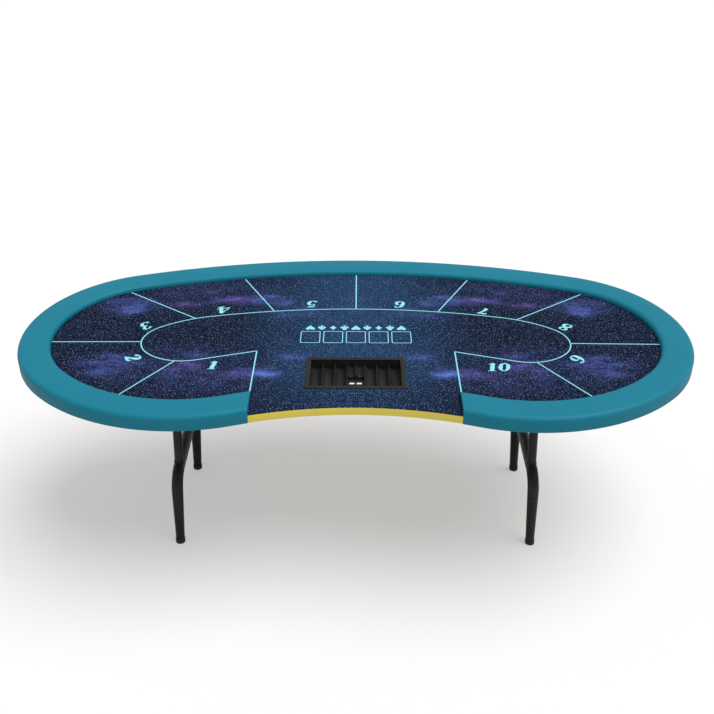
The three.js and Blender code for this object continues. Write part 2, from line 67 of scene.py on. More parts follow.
BOARD_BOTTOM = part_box("table_board")[0].z
BOARD_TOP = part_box("table_board")[1].z
CLOTH_BOTTOM, CLOTH_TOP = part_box("playing_cloth")[0].z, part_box("playing_cloth")[1].z
CORE_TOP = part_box("rail_core")[1].z
BAND_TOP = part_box("dealer_edge_band")[1].z
RAIL_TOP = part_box("rail_pad")[1].z
BACK_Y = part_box("rail_pad")[1].y
PIVOT_LOW, PIVOT_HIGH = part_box("pivot_tube_right")
PIVOT = (PIVOT_LOW + PIVOT_HIGH) / 2
TRAY_LOW, TRAY_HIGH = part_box("chip_tray")
TRAY_MIDDLE, TRAY_HALF = (TRAY_LOW + TRAY_HIGH) / 2, (TRAY_HIGH - TRAY_LOW) / 2
TRAY_CORNER = 0.006

# ---- plan of the table ----

Arc = namedtuple("Arc", "x y radius start end steps side")

# Radius and turn of each arc from the middle of the back to the dealer's place, and its steps.
OUTLINE_TURNS = ((2.700, 19, 14), (0.490, 115, 56), (0.660, 64, 34))
SKIN = 0.0077  # what the cover and the edge band take up outside the board
CORE_INNER = 0.1013
RAIL_WIDTH = 0.113
RAIL_END_X = 0.346
APRON_X = RAIL_END_X - GAP
CLOTH_INSET = 0.1016
END_PANEL = 0.002

# The printed line round the dealer's side of the cloth: radius and turn of each arc, then a straight.
LINE_START_Y = 0.1773
LINE_TURNS = ((2.405, 13.2, 12), (0.448, 25.6, 12), (0.1219, 96.3, 30), (0.1777, 61.5, 20))
LINE_STRAIGHT = 0.219


def arcs_along(x, y, turns):
    """Arcs that follow one another without a corner, from a point heading +X and turning clockwise."""
    heading = 0.0
    arcs = []
    for radius, turn, steps in turns:
        centre_x = x + radius * math.sin(heading)
        centre_y = y - radius * math.cos(heading)
        start = heading + math.pi / 2
        heading -= math.radians(turn)
        arcs.append(Arc(centre_x, centre_y, radius, start, heading + math.pi / 2, steps, 1))
        x = centre_x - radius * math.sin(heading)
        y = centre_y + radius * math.cos(heading)
    return arcs, Vector((x, y, 0)), heading


def dealer_arc(end, heading):
    """The hollow arc at the dealer's place: it carries on from the lobe and is level at x = 0."""
    radius = end.x / math.sin(heading)
    start = heading - math.pi / 2 + 2 * math.pi
    return Arc(0, end.y + radius * math.cos(heading), radius, start, math.pi / 2, 20, -1)


SIDE_ARCS, LOBE_END, LOBE_HEADING = arcs_along(0, BACK_Y, OUTLINE_TURNS)
DEALER_ARC = dealer_arc(LOBE_END, LOBE_HEADING)
CUT_ARC = DEALER_ARC._replace(end=DEALER_ARC.start + math.radians(6), steps=6)


def dealer_angle(x, inset):
    """Angle on the dealer's arc, at an inset, of the point with this x."""
    return math.acos(x / (DEALER_ARC.radius + inset))


def arc_point(arc, angle, inset, z=0.0):
    radius = arc.radius - arc.side * inset
    return Vector((arc.x + radius * math.cos(angle), arc.y + radius * math.sin(angle), z))


# ---- legs and hardware, as in the frame ----

LEAN = math.radians(2.5)
LEG_Y = (-0.286, 0.168)
RAIL_DROP = 0.387  # from the pivot to the cross rail, along the leg
KNEE_STUB = 0.022  # level end of a leg past its bend
UPPER_OFFSET = 0.065
CAP_SOLE = 0.006
CAP_GRIP = 0.014
FLOOR_DROP = PIVOT.z / math.cos(LEAN)
SHORT_END = FLOOR_DROP - CAP_SOLE
BRACE_DROP = 0.240
BRACE_TUBE = 0.011  # radius
PIVOT_RADIUS = (PIVOT_HIGH.z - PIVOT_LOW.z) / 2

SIDES = {"left": -1, "right": 1}
ENDS = ("front", "rear")


# ---- settings ----

def length(label, about, value):
    return FloatProperty(name=label, description=about, default=value, min=0.0, unit="LENGTH", precision=4)


def colour(label, about, value):
    return FloatVectorProperty(
        name=label, description=about, default=value, size=3, min=0.0, max=1.0, subtype="COLOR"
    )


def amount(label, about, value):
    return FloatProperty(name=label, description=about, default=value, min=0.0, subtype="FACTOR")


class RailSettings(bpy.types.PropertyGroup):
    round: length("Shoulder radius", "Radius of the rail's top shoulders", 0.017)
    crown: length("Crown", "How far the padding bulges between the shoulders", 0.0012)
    hem: length("Hem", "How far the cover is turned under the board", 0.030)
    colour: colour("Vinyl colour", "Colour of the rail's cover", (0.0065, 0.200, 0.288))


class ClothSettings(bpy.types.PropertyGroup):
    night: colour("Night", "Darkest colour between the clouds", (0.0024, 0.0072, 0.0250))
    sea: colour("Blue", "Blue in the middle and at the dealer's place", (0.0125, 0.0440, 0.1120))
    glow: colour("Glow", "Blue light of the star clouds", (0.0560, 0.0860, 0.3100))
    rose: colour("Rose", "Reddish light of some star clouds", (0.1000, 0.0420, 0.2000))
    weave: length("Weave", "Distance between two threads", 0.0009)


class PrintSettings(bpy.types.PropertyGroup):
    line: length("Line width", "Width of the printed lines", 0.0045)
    box_line: length("Box line width", "Width of the card boxes' lines", 0.0030)
    digit: length("Digit height", "Height of the seat numbers", 0.054)
    colour: colour("Ink", "Colour of the printed lines and numbers", (0.300, 0.785, 0.895))


class BandSettings(bpy.types.PropertyGroup):
    edge: length("Edge radius", "Rounding of the band's long edges", 0.0018)
    colour: colour("Band colour", "Colour of the band at the dealer's place", (0.840, 0.690, 0.105))


class TraySettings(bpy.types.PropertyGroup):
    edge: length("Edge radius", "Rounding of the tray's edges", 0.0008)
    colour: colour("Plastic colour", "Colour of the chip tray", (0.0205, 0.0195, 0.0190))


class LegSettings(bpy.types.PropertyGroup):
    foot: length("Foot radius", "Radius of a leg at the floor", 0.016)
    knee: length("Knee radius", "Radius of a leg at its bend and of the cross rail", 0.021)
    bend: length("Bend radius", "Radius of the bend in the middle of the tube", 0.066)
    upper: length("Upper tube radius", "Radius of the two upright tubes", 0.0165)
    colour: colour("Paint colour", "Colour of the painted tubes", (0.0170, 0.0170, 0.0175))


class HardwareSettings(bpy.types.PropertyGroup):
    edge: length("Edge radius", "Rounding of pressed steel edges", 0.0004)
    colour: colour("Plating colour", "Colour of the plated steel", (0.520, 0.530, 0.540))


class StageSettings(bpy.types.PropertyGroup):
    floor: colour("Floor colour", "Colour of the floor", (0.620, 0.620, 0.620))
    glow: amount("Floor glow", "Light that the floor itself gives towards the camera", 0.31)
    sky: amount("Sky strength", "Strength of the even light all round", 0.46)
    sun: amount("Main light strength", "Strength of the large soft light from above", 2.35)
    lens: FloatProperty(name="Lens", description="Focal length in millimetres", default=48.38, min=1.0)


SETTINGS = {
    "table_rail": RailSettings,
    "table_cloth": ClothSettings,
    "table_print": PrintSettings,
    "table_band": BandSettings,
    "table_tray": TraySettings,
    "table_legs": LegSettings,
    "table_hardware": HardwareSettings,
    "table_stage": StageSettings,
}


# ---- drawing wires ----

def verts_in(geom):
    return [g for g in geom if isinstance(g, bmesh.types.BMVert)]


def edges_in(geom):
    return [g for g in geom if isinstance(g, bmesh.types.BMEdge)]


class Pen:
    """Draws one wire into a bmesh, in a plane given by two directions from an origin."""

    def __init__(self, bm, origin, across, up, place):
        self.bm = bm
        self.origin, self.across, self.up = Vector(origin), Vector(across), Vector(up)
        self.axis = self.across.cross(self.up)
        self.first = self.tip = bm.verts.new(self.at(*place))

    def at(self, a, b):
        return self.origin + self.across * a + self.up * b

    def line(self, a, b):
        self.tip = bmesh.ops.extrude_vert_indiv(self.bm, verts=[self.tip])["verts"][0]
        self.tip.co = self.at(a, b)
        return self

    def arc(self, a, b, degrees, steps):
        """Goes on along an arc about (a, b), turning from across towards up."""
        made = bmesh.ops.spin(
            self.bm, geom=[self.tip], cent=self.at(a, b), axis=self.axis,
            angle=math.radians(degrees), steps=steps,
        )
        self.tip = verts_in(made["geom_last"])[0]
        return self

    def follow(self, arc, start=None, end=None):
        """Goes on along an arc of the table's plan."""
        start = arc.start if start is None else start
        end = arc.end if end is None else end
        return self.arc(arc.x, arc.y, math.degrees(end - start), arc.steps)

    def close(self):
        self.bm.edges.new((self.tip, self.first))
        return self


def plan_pen(bm, z, x, y):
    return Pen(bm, (0, 0, z), (1, 0, 0), (0, 1, 0), (x, y))


def section_pen(bm, arc, angle, inset, z):
    """A pen in the upright plane across the outline. Its first direction is outwards."""
    out = Vector((math.cos(angle), math.sin(angle), 0)) * arc.side
    return Pen(bm, arc_point(arc, angle, 0), out, UP, (-inset, z))


def sweep(bm, arcs):
    """Spins everything drawn so far about each arc's centre in turn."""
    wire = bm.verts[:] + bm.edges[:]
    for arc in arcs:
        made = bmesh.ops.spin(
            bm, geom=wire, cent=(arc.x, arc.y, 0), axis=UP, angle=arc.end - arc.start, steps=arc.steps
        )
        wire = made["geom_last"]
    return wire


def fill_flat(bm, normal=UP):
    """Fills the closed wires in a bmesh, with inner wires left as holes."""
    bmesh.ops.triangle_fill(bm, use_beauty=True, edges=bm.edges[:], normal=normal)


def thicken(bm, by):
    """Turns flat faces into a slab by moving a copy of them."""
    made = bmesh.ops.extrude_face_region(bm, geom=bm.faces[:])
    bmesh.ops.translate(bm, verts=verts_in(made["geom"]), vec=by)


def mirror_across(bm):
    """Adds the other half of a piece that is the same on both sides of x = 0."""
    bmesh.ops.mirror(bm, geom=bm.verts[:] + bm.edges[:] + bm.faces[:], axis="X", merge_dist=TINY)


def close_end(bm, ring):
    bmesh.ops.holes_fill(bm, edges=ring, sides=0)


def append(bm, part):
    """Moves one bmesh's geometry into another."""
    mesh = bpy.data.meshes.new("part")
    part.to_mesh(mesh)
    part.free()
    bm.from_mesh(mesh)
    bpy.data.meshes.remove(mesh)


def cut(bm, x, keep_above, region=None):
    """Cuts the part of a bmesh in a region at an x, keeps one side of it and closes the cut."""
    faces = [f for f in bm.faces if region is None or region(f.calc_center_median())]
    verts = {v for f in faces for v in f.verts}
    edges = {e for f in faces for e in f.edges}
    made = bmesh.ops.bisect_plane(
        bm, geom=faces + list(verts) + list(edges), plane_co=(x, 0, 0), plane_no=(1, 0, 0),
        clear_inner=keep_above, clear_outer=not keep_above,
    )
    close_end(bm, edges_in(made["geom_cut"]))


def box_between(bm, low, high):
    low, high = Vector(low), Vector(high)
    size = high - low
    matrix = Matrix.Translation((low + high) / 2) @ Matrix.Diagonal((*size, 1))
    bmesh.ops.create_cube(bm, size=1, matrix=matrix)


def lathe(bm, points, steps, origin=(0, 0, 0)):
    """Turns a list of (radius, height) about an upright axis, and welds it at its poles."""
    before = set(bm.verts)
    pen = Pen(bm, origin, (1, 0, 0), UP, points[0])
    for radius, height in points[1:]:
        pen.line(radius, height)
    wire = [v for v in bm.verts if v not in before]
    edges = {e for v in wire for e in v.link_edges}
    bmesh.ops.spin(
        bm, geom=wire + list(edges), cent=origin, axis=UP, angle=2 * math.pi, steps=steps, use_merge=True
    )
    made = [v for v in bm.verts if v not in before]
    bmesh.ops.remove_doubles(bm, verts=made, dist=TINY)
    return [v for v in bm.verts if v not in before]


def round_edges(bm, edges, offset, segments=2):
    bmesh.ops.bevel(
        bm, geom=list(edges), offset=offset, segments=segments, profile=0.5, affect="EDGES",
        clamp_overlap=True, material=-1,
    )


def sharp_edges(bm, degrees=30):
    limit = math.radians(degrees)
    return [e for e in bm.edges if len(e.link_faces) == 2 and e.calc_face_angle(0.0) > limit]


def tidy(bm):
    bmesh.ops.remove_doubles(bm, verts=bm.verts[:], dist=TINY / 2)
    bmesh.ops.recalc_face_normals(bm, faces=bm.faces[:])


def add_piece(bm, name, material, body, replaces=(), slot=None, smooth=35):
    """Makes a bmesh a piece of the table that moves with a body."""
    tidy(bm)
    mesh = bpy.data.meshes.new(name)
    bm.to_mesh(mesh)
    bm.free()
    mesh.shade_smooth()
    mesh.set_sharp_from_angle(angle=math.radians(smooth))
    mesh.materials.append(material)
    piece = bpy.data.objects.new(name, mesh)
    bpy.context.scene.collection.objects.link(piece)
    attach(piece, body)
    if replaces:
        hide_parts(*replaces)
    return piece


def refined_copy(node, offset):
    """A bmesh of a frame node with its triangles joined into clean faces and its sharp edges rounded."""
    bm = bmesh.new()
    bm.from_mesh(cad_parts[node].data)
    bmesh.ops.remove_doubles(bm, verts=bm.verts[:], dist=TINY)
    bmesh.ops.dissolve_limit(bm, angle_limit=math.radians(1), verts=bm.verts[:], edges=bm.edges[:])
    round_edges(bm, sharp_edges(bm), offset)
    return bm


# ---- shader building ----

class Nodes:
    """Adds nodes to a tree. An input is either a socket to link or a value to set."""

    def __init__(self, tree):
        self.tree = tree

    def add(self, kind, inputs=None, **settings):
        node = self.tree.nodes.new(kind)
        for key, value in settings.items():
            setattr(node, key, value)
        for key, value in (inputs or {}).items():
            if isinstance(value, bpy.types.NodeSocket):
                self.tree.links.new(value, node.inputs[key])
            else:
                node.inputs[key].default_value = value
        return node

    def math(self, operation, a, b=0.0):
        return self.add("ShaderNodeMath", {0: a, 1: b}, operation=operation).outputs[0]

    def axes(self, vector):
        """The X, Y and Z of a vector."""
        return self.add("ShaderNodeSeparateXYZ", {"Vector": vector}).outputs

    def fade(self, value, low, high):
        """Goes smoothly from 0 where a value is low to 1 where it is high."""
        node = self.add(
            "ShaderNodeMapRange", {"Value": value, "From Min": low, "From Max": high},
            interpolation_type="SMOOTHSTEP",
        )
        return node.outputs["Result"]

    def between(self, value, low, high):
        """Spreads a value of 0 to 1 over another range."""
        node = self.add("ShaderNodeMapRange", {"Value": value, "To Min": low, "To Max": high})
        return node.outputs["Result"]

    def mix(self, factor, first, second, blend="MIX"):
        node = self.add("ShaderNodeMix", data_type="RGBA", blend_type=blend)
        for socket, value in ((node.inputs[0], factor), (node.inputs[6], first), (node.inputs[7], second)):
            if isinstance(value, bpy.types.NodeSocket):
                self.tree.links.new(value, socket)
            elif hasattr(value, "__len__"):
                socket.default_value = (*value[:3], 1.0)
            else:
                socket.default_value = value
        return node.outputs[2]

    def noise(self, vector, scale, detail=3.0, roughness=0.5, distortion=0.0):
        return self.add("ShaderNodeTexNoise", {
            "Vector": vector, "Scale": scale, "Detail": detail, "Roughness": roughness,
            "Distortion": distortion,
        }).outputs["Fac"]


def object_coordinates(nodes):
    return nodes.add("ShaderNodeTexCoord").outputs["Object"]


def group_of(name, inputs, outputs):
    """An empty node group with float inputs, its vector input first, and float outputs."""
    tree = bpy.data.node_groups.new(name, "ShaderNodeTree")
    tree.interface.new_socket(name="Vector", in_out="INPUT", socket_type="NodeSocketVector")
    for label, value in inputs.items():
        socket = tree.interface.new_socket(name=label, in_out="INPUT", socket_type="NodeSocketFloat")
        socket.default_value = value
    for label in outputs:
        tree.interface.new_socket(name=label, in_out="OUTPUT", socket_type="NodeSocketFloat")
    nodes = Nodes(tree)
    return nodes, nodes.add("NodeGroupInput").outputs, nodes.add("NodeGroupOutput").inputs


def once(make):
    """Makes a node group or a material the first time that it is asked for."""
    made = {}

    def get():
        if "it" not in made:
            made["it"] = make()
        return made["it"]

    return get


@once
def grain_group():
    """Pebbled grain: small cells between fine creases, for vinyl, paint and moulded plastic."""
    inputs = {"Cells per metre": 900.0, "Creases": 0.6}
    nodes, given, out = group_of("Pebble grain", inputs, ["Height", "Tone"])
    cells = nodes.add("ShaderNodeTexVoronoi", {
        "Vector": given["Vector"], "Scale": given["Cells per metre"], "Randomness": 0.9,
    }, feature="DISTANCE_TO_EDGE")
    pebble = nodes.fade(cells.outputs["Distance"], 0.0, 0.25)
    fine = nodes.noise(given["Vector"], nodes.math("MULTIPLY", given["Cells per metre"], 0.9), 2.0)
    creased = nodes.math("MULTIPLY", pebble, given["Creases"])
    broad = nodes.noise(given["Vector"], 5.0, 4.0, 0.6)
    nodes.tree.links.new(nodes.math("ADD", creased, nodes.math("MULTIPLY", fine, 0.5)), out["Height"])
    nodes.tree.links.new(broad, out["Tone"])
    return nodes.tree


@once
def weave_group():
    """Crossed threads: rows of warp and weft that pass over and under each other."""
    nodes, given, out = group_of("Plain weave", {"Thread": 0.0009}, ["Height", "Fleck"])
    split = nodes.axes(given["Vector"])
    turn = nodes.math("DIVIDE", math.pi, given["Thread"])
    wave_x = nodes.math("SINE", nodes.math("MULTIPLY", split["X"], turn))
    wave_y = nodes.math("SINE", nodes.math("MULTIPLY", split["Y"], turn))
    threads = nodes.math("ABSOLUTE", nodes.math("MULTIPLY", wave_x, wave_y))
    fibre = nodes.noise(given["Vector"], 2600.0, 2.0)
    nodes.tree.links.new(nodes.math("ADD", threads, nodes.math("MULTIPLY", fibre, 0.6)), out["Height"])
    nodes.tree.links.new(fibre, out["Fleck"])
    return nodes.tree


@once
def wear_group():
    """Handling marks: soft smudges and a few fine scratches, as one mask."""
    nodes, given, out = group_of("Handling marks", {"Smudges": 6.0, "Scratches": 60.0}, ["Mask"])
    smudge = nodes.fade(nodes.noise(given["Vector"], given["Smudges"], 5.0, 0.6), 0.45, 0.8)
    stretched = nodes.add("ShaderNodeMapping", {"Vector": given["Vector"], "Scale": (1.0, 0.06, 1.0)})
    lines = nodes.noise(stretched.outputs["Vector"], given["Scratches"], 6.0, 0.7)
    scratch = nodes.fade(lines, 0.66, 0.72)
    nodes.tree.links.new(nodes.math("MAXIMUM", smudge, nodes.math("MULTIPLY", scratch, 0.7)), out["Mask"])
    return nodes.tree


def place_group(nodes, tree, vector, **inputs):
    values = {key.replace("_", " ").capitalize(): value for key, value in inputs.items()}
    node = nodes.add("ShaderNodeGroup", node_tree=tree)
    nodes.tree.links.new(vector, node.inputs["Vector"])
    for key, value in values.items():
        node.inputs[key].default_value = value
    return node.outputs


def new_finish(name):
    """A material with its node builder, its shader and the object's coordinates."""
    material = bpy.data.materials.new(name)
    material.use_nodes = True
    nodes = Nodes(material.node_tree)
    return material, nodes, material.node_tree.nodes["Principled BSDF"], object_coordinates(nodes)


def set_inputs(nodes, shader, **inputs):
    for key, value in inputs.items():
        socket = shader.inputs[key.replace("_", " ")]
        if isinstance(value, bpy.types.NodeSocket):
            nodes.tree.links.new(value, socket)
        else:
            socket.default_value = value


def bump(nodes, height, depth, strength=1.0):
    return nodes.add("ShaderNodeBump", {"Height": height, "Distance": depth, "Strength": strength}).outputs[0]


def shades(value, low, high):
    """Two tones of one colour."""
    return tuple(min(1.0, c * low) for c in value), tuple(min(1.0, c * high) for c in value)


@once
def vinyl_finish():
    material, nodes, shader, at = new_finish("Rail vinyl")
    grain = place_group(nodes, grain_group(), at, cells_per_metre=820.0, creases=0.7)
    wear = place_group(nodes, wear_group(), at, smudges=3.5, scratches=40.0)["Mask"]
    darker, lighter = shades(bpy.context.scene.table_rail.colour, 0.93, 1.05)
    tone = nodes.mix(grain["Tone"], darker, lighter)
    set_inputs(
        nodes, shader, Base_Color=nodes.mix(nodes.math("MULTIPLY", wear, 0.12), tone, lighter),
        Roughness=nodes.between(wear, 0.46, 0.38), Specular_IOR_Level=0.17,
        Normal=bump(nodes, grain["Height"], 0.00018, 0.5),
    )
    return material


@once
def patch_group():
    """One soft oval patch: 1 in its middle, 0 outside."""
    inputs = {"X": 0.0, "Y": 0.0, "Half x": 0.1, "Half y": 0.05}
    nodes, given, out = group_of("Soft patch", inputs, ["Mask"])
    split = nodes.axes(given["Vector"])
    parts = []
    for axis in "XY":
        off = nodes.math("SUBTRACT", split[axis], given[axis])
        parts.append(nodes.math("POWER", nodes.math("DIVIDE", off, given[f"Half {axis.lower()}"]), 2.0))
    away = nodes.math("SQRT", nodes.math("ADD", *parts))
    nodes.tree.links.new(nodes.math("POWER", nodes.fade(away, 1.0, 0.0), 1.5), out["Mask"])
    return nodes.tree


# Star clouds on the cloth's +X half: middle, half sizes, strength and how rosy they are.
CLOUDS = (
    (0.325, 0.250, 0.120, 0.085, 0.95, 0.0), (0.470, 0.235, 0.150, 0.070, 0.85, 0.6),
    (0.650, 0.213, 0.110, 0.055, 0.80, 0.8), (0.855, 0.205, 0.180, 0.115, 0.90, 0.1),
    (0.600, 0.330, 0.400, 0.160, 0.22, 0.3), (0.310, -0.270, 0.095, 0.060, 1.20, 0.0),
    (0.435, -0.268, 0.140, 0.065, 0.80, 0.5), (0.610, -0.235, 0.110, 0.050, 0.75, 0.7),
    (0.850, -0.235, 0.200, 0.100, 0.85, 0.1), (0.560, -0.300, 0.460, 0.170, 0.25, 0.2),
    (0.220, -0.175, 0.120, 0.070, 0.55, 0.0), (0.560, -0.150, 0.300, 0.080, 0.30, 0.1),
    (0.240, 0.145, 0.170, 0.080, 0.50, 0.0),
)


@once
def cloth_finish():
    """Printed night sky: two banks of star clouds, the same on both sides of the middle."""
    tones = bpy.context.scene.table_cloth
    material, nodes, shader, at = new_finish("Printed cloth")
    split = nodes.axes(at)
    side = nodes.math("ABSOLUTE", split["X"])
    folded = nodes.add("ShaderNodeCombineXYZ", {"X": side, "Y": split["Y"]}).outputs[0]

    swirl = nodes.add("ShaderNodeTexNoise", {
        "Vector": folded, "Scale": 7.0, "Detail": 5.0, "Roughness": 0.6,
    }).outputs["Color"]
    shift = nodes.add("ShaderNodeVectorMath", {0: swirl, 1: (0.5, 0.5, 0.5)}, operation="SUBTRACT").outputs[0]
    shift = nodes.add("ShaderNodeVectorMath", {0: shift, "Scale": 0.16}, operation="SCALE").outputs[0]
    warped = nodes.add("ShaderNodeVectorMath", {0: folded, 1: shift}, operation="ADD").outputs[0]
    light = (0.0, 0.0, 0.0)
    for x, y, half_x, half_y, strength, rosy in CLOUDS:
        patch = place_group(nodes, patch_group(), warped, x=x, y=y, half_x=half_x, half_y=half_y)["Mask"]
        tint = Vector(tones.glow).lerp(Vector(tones.rose), rosy)
        light = nodes.mix(nodes.math("MULTIPLY", patch, strength), light, tint, "ADD")
    streaks = nodes.add("ShaderNodeMapping", {"Vector": folded, "Scale": (0.45, 1.0, 1.0)}).outputs["Vector"]
    puffs = nodes.fade(nodes.noise(streaks, 22.0, 8.0, 0.68), 0.36, 0.72)
    cloudy = nodes.mix(nodes.between(puffs, 0.25, 1.0), (0.0, 0.0, 0.0), light)
    cloudy = nodes.mix(nodes.between(puffs, 0.0, 1.0), cloudy, nodes.mix(1.0, cloudy, cloudy, "ADD"))

    blue = nodes.math("POWER", nodes.fade(nodes.axes(warped)["X"], 0.52, 0.02), 1.1)
    mottled = nodes.between(nodes.noise(folded, 9.0, 7.0, 0.65), 0.45, 1.45)
    ground = nodes.mix(nodes.math("MULTIPLY", blue, mottled), tones.night, tones.sea)
    apron = nodes.math("MULTIPLY", nodes.fade(split["Y"], -0.28, -0.44), 0.55)
    ground = nodes.mix(apron, ground, tones.night)
    sky = nodes.mix(1.0, ground, cloudy, "ADD")

    dust = nodes.add("ShaderNodeTexVoronoi", {"Vector": folded, "Scale": 260.0}, voronoi_dimensions="2D")
    dust_light = nodes.add("ShaderNodeSeparateColor", {"Color": dust.outputs["Color"]}).outputs
    speck = nodes.math("MULTIPLY", nodes.fade(dust.outputs["Distance"], 0.50, 0.15), dust_light["Red"])
    stars = nodes.add("ShaderNodeTexVoronoi", {"Vector": folded, "Scale": 135.0}, voronoi_dimensions="2D")
    star_light = nodes.add("ShaderNodeSeparateColor", {"Color": stars.outputs["Color"]}).outputs
    star = nodes.fade(stars.outputs["Distance"], 0.27, 0.08)
    star = nodes.math("MULTIPLY", star, nodes.math("POWER", star_light["Green"], 3.0))
    tint = nodes.mix(star_light["Blue"], (0.30, 0.56, 1.0), (0.72, 0.74, 1.0))
    lit = nodes.mix(nodes.math("MULTIPLY", nodes.math("POWER", speck, 3.0), 0.26), sky, tint, "ADD")
    lit = nodes.mix(nodes.math("MULTIPLY", star, 0.56), lit, tint, "ADD")

    weave = place_group(nodes, weave_group(), at, thread=tones.weave)
    dyed = nodes.mix(nodes.math("MULTIPLY", weave["Fleck"], 0.25), lit, nodes.mix(0.5, lit, (0.0, 0.0, 0.0)))
    set_inputs(
        nodes, shader, Base_Color=dyed, Roughness=0.85, Specular_IOR_Level=0.02,
        Normal=bump(nodes, weave["Height"], 0.00012, 0.6),
    )
    return material


@once
def ink_finish():
    """Pale ink in the cloth: it has the same threads."""
    material, nodes, shader, at = new_finish("Printing ink")
    weave = place_group(nodes, weave_group(), at, thread=bpy.context.scene.table_cloth.weave)
    thin, full = shades(bpy.context.scene.table_print.colour, 0.82, 1.0)
    set_inputs(
        nodes, shader, Base_Color=nodes.mix(nodes.fade(weave["Fleck"], 0.3, 0.55), thin, full),
        Roughness=0.75, Specular_IOR_Level=0.2, Normal=bump(nodes, weave["Height"], 0.00012, 0.6),
    )
    return material


@once
def band_finish():
    material, nodes, shader, at = new_finish("Edge band")
    grain = place_group(nodes, grain_group(), at, cells_per_metre=1500.0, creases=0.4)
    wear = place_group(nodes, wear_group(), at, smudges=9.0, scratches=90.0)["Mask"]
    darker, lighter = shades(bpy.context.scene.table_band.colour, 0.90, 1.05)
    set_inputs(
        nodes, shader, Base_Color=nodes.mix(grain["Tone"], darker, lighter),
        Roughness=nodes.between(wear, 0.40, 0.54), Specular_IOR_Level=0.25,
        Normal=bump(nodes, grain["Height"], 0.00008, 0.4),
    )
    return material


@once
def tray_finish():
    material, nodes, shader, at = new_finish("Tray plastic")
    grain = place_group(nodes, grain_group(), at, cells_per_metre=1900.0, creases=0.5)
    wear = place_group(nodes, wear_group(), at, smudges=14.0, scratches=120.0)["Mask"]
    darker, lighter = shades(bpy.context.scene.table_tray.colour, 0.85, 1.2)
    set_inputs(
        nodes, shader, Base_Color=nodes.mix(wear, darker, lighter), Specular_IOR_Level=0.25,
        Roughness=nodes.between(wear, 0.46, 0.62), Normal=bump(nodes, grain["Height"], 0.00008, 0.5),
    )
    return material


@once
def paint_finish():
    """Gloss black powder paint with a slight orange peel."""
    material, nodes, shader, at = new_finish("Black paint")
    peel = nodes.noise(at, 240.0, 2.0)
    wear = place_group(nodes, wear_group(), at, smudges=12.0, scratches=80.0)["Mask"]
    darker, lighter = shades(bpy.context.scene.table_legs.colour, 0.9, 1.7)
    set_inputs(
        nodes, shader, Base_Color=nodes.mix(wear, darker, lighter), Specular_IOR_Level=0.22,
        Roughness=nodes.between(wear, 0.26, 0.42), Normal=bump(nodes, peel, 0.0004, 0.25),
    )
    return material


@once
def steel_finish():
    """Dull zinc plating, faintly blotched and brushed."""
    material, nodes, shader, at = new_finish("Zinc plating")
    blotch = nodes.noise(at, 130.0, 5.0, 0.65)
    wear = place_group(nodes, wear_group(), at, smudges=40.0, scratches=300.0)["Mask"]
    darker, lighter = shades(bpy.context.scene.table_hardware.colour, 0.72, 1.12)
    set_inputs(
        nodes, shader, Base_Color=nodes.mix(blotch, darker, lighter), Metallic=1.0,
        Roughness=nodes.between(wear, 0.30, 0.52), Normal=bump(nodes, blotch, 0.00015, 0.3),
    )
    return material


@once
def rubber_and_shade_finish():
    """Black rubber, a little dusty near the floor. The same black also serves as painted shade in the tray's
    flange recesses.
    """
    material, nodes, shader, at = new_finish("Foot rubber and painted shade")
    grain = place_group(nodes, grain_group(), at, cells_per_metre=1600.0, creases=0.4)
    dusty = nodes.math("MULTIPLY", nodes.fade(nodes.axes(at)["Z"], 0.012, 0.0), 0.5)
    set_inputs(
        nodes, shader, Base_Color=nodes.mix(dusty, (0.016, 0.016, 0.017), (0.07, 0.066, 0.06)),
        Roughness=0.72, Normal=bump(nodes, grain["Height"], 0.0001, 0.5),
    )
    return material


@once
def plywood_finish():
    """Birch plywood: long grain on the faces and thin plies round the edges."""
    material, nodes, shader, at = new_finish("Plywood")
    along = nodes.add("ShaderNodeMapping", {"Vector": at, "Scale": (1.0, 14.0, 1.0)}).outputs["Vector"]
    figure = nodes.noise(along, 5.0, 8.0, 0.62, 0.6)
    pores = nodes.fade(nodes.noise(along, 90.0, 3.0, 0.6), 0.56, 0.72)
    face = nodes.mix(nodes.fade(figure, 0.35, 0.7), (0.48, 0.40, 0.30), (0.62, 0.54, 0.43))
    face = nodes.mix(nodes.math("MULTIPLY", pores, 0.4), face, (0.27, 0.19, 0.12))
    ply = nodes.math("PINGPONG", nodes.math("SUBTRACT", nodes.axes(at)["Z"], BOARD_BOTTOM), 0.0018)
    edge = nodes.mix(nodes.fade(ply, 0.0006, 0.0011), (0.30, 0.18, 0.09), (0.58, 0.41, 0.24))
    facing = nodes.axes(nodes.add("ShaderNodeNewGeometry").outputs["Normal"])["Z"]
    level = nodes.fade(nodes.math("ABSOLUTE", facing), 0.4, 0.8)
    set_inputs(
        nodes, shader, Base_Color=nodes.mix(level, edge, face),
        Roughness=nodes.between(figure, 0.62, 0.78), Normal=bump(nodes, figure, 0.0003, 0.4),
    )
    return material


@once
def foam_finish():
    material, nodes, shader, at = new_finish("Underlay foam")
    cells = nodes.add("ShaderNodeTexVoronoi", {"Vector": at, "Scale": 1100.0})
    pores = nodes.fade(cells.outputs["Distance"], 0.2, 0.55)
    set_inputs(
        nodes, shader, Base_Color=nodes.mix(pores, (0.32, 0.31, 0.28), (0.62, 0.61, 0.57)),
        Roughness=0.95, Normal=bump(nodes, pores, 0.0004, 0.6),
    )
    return material


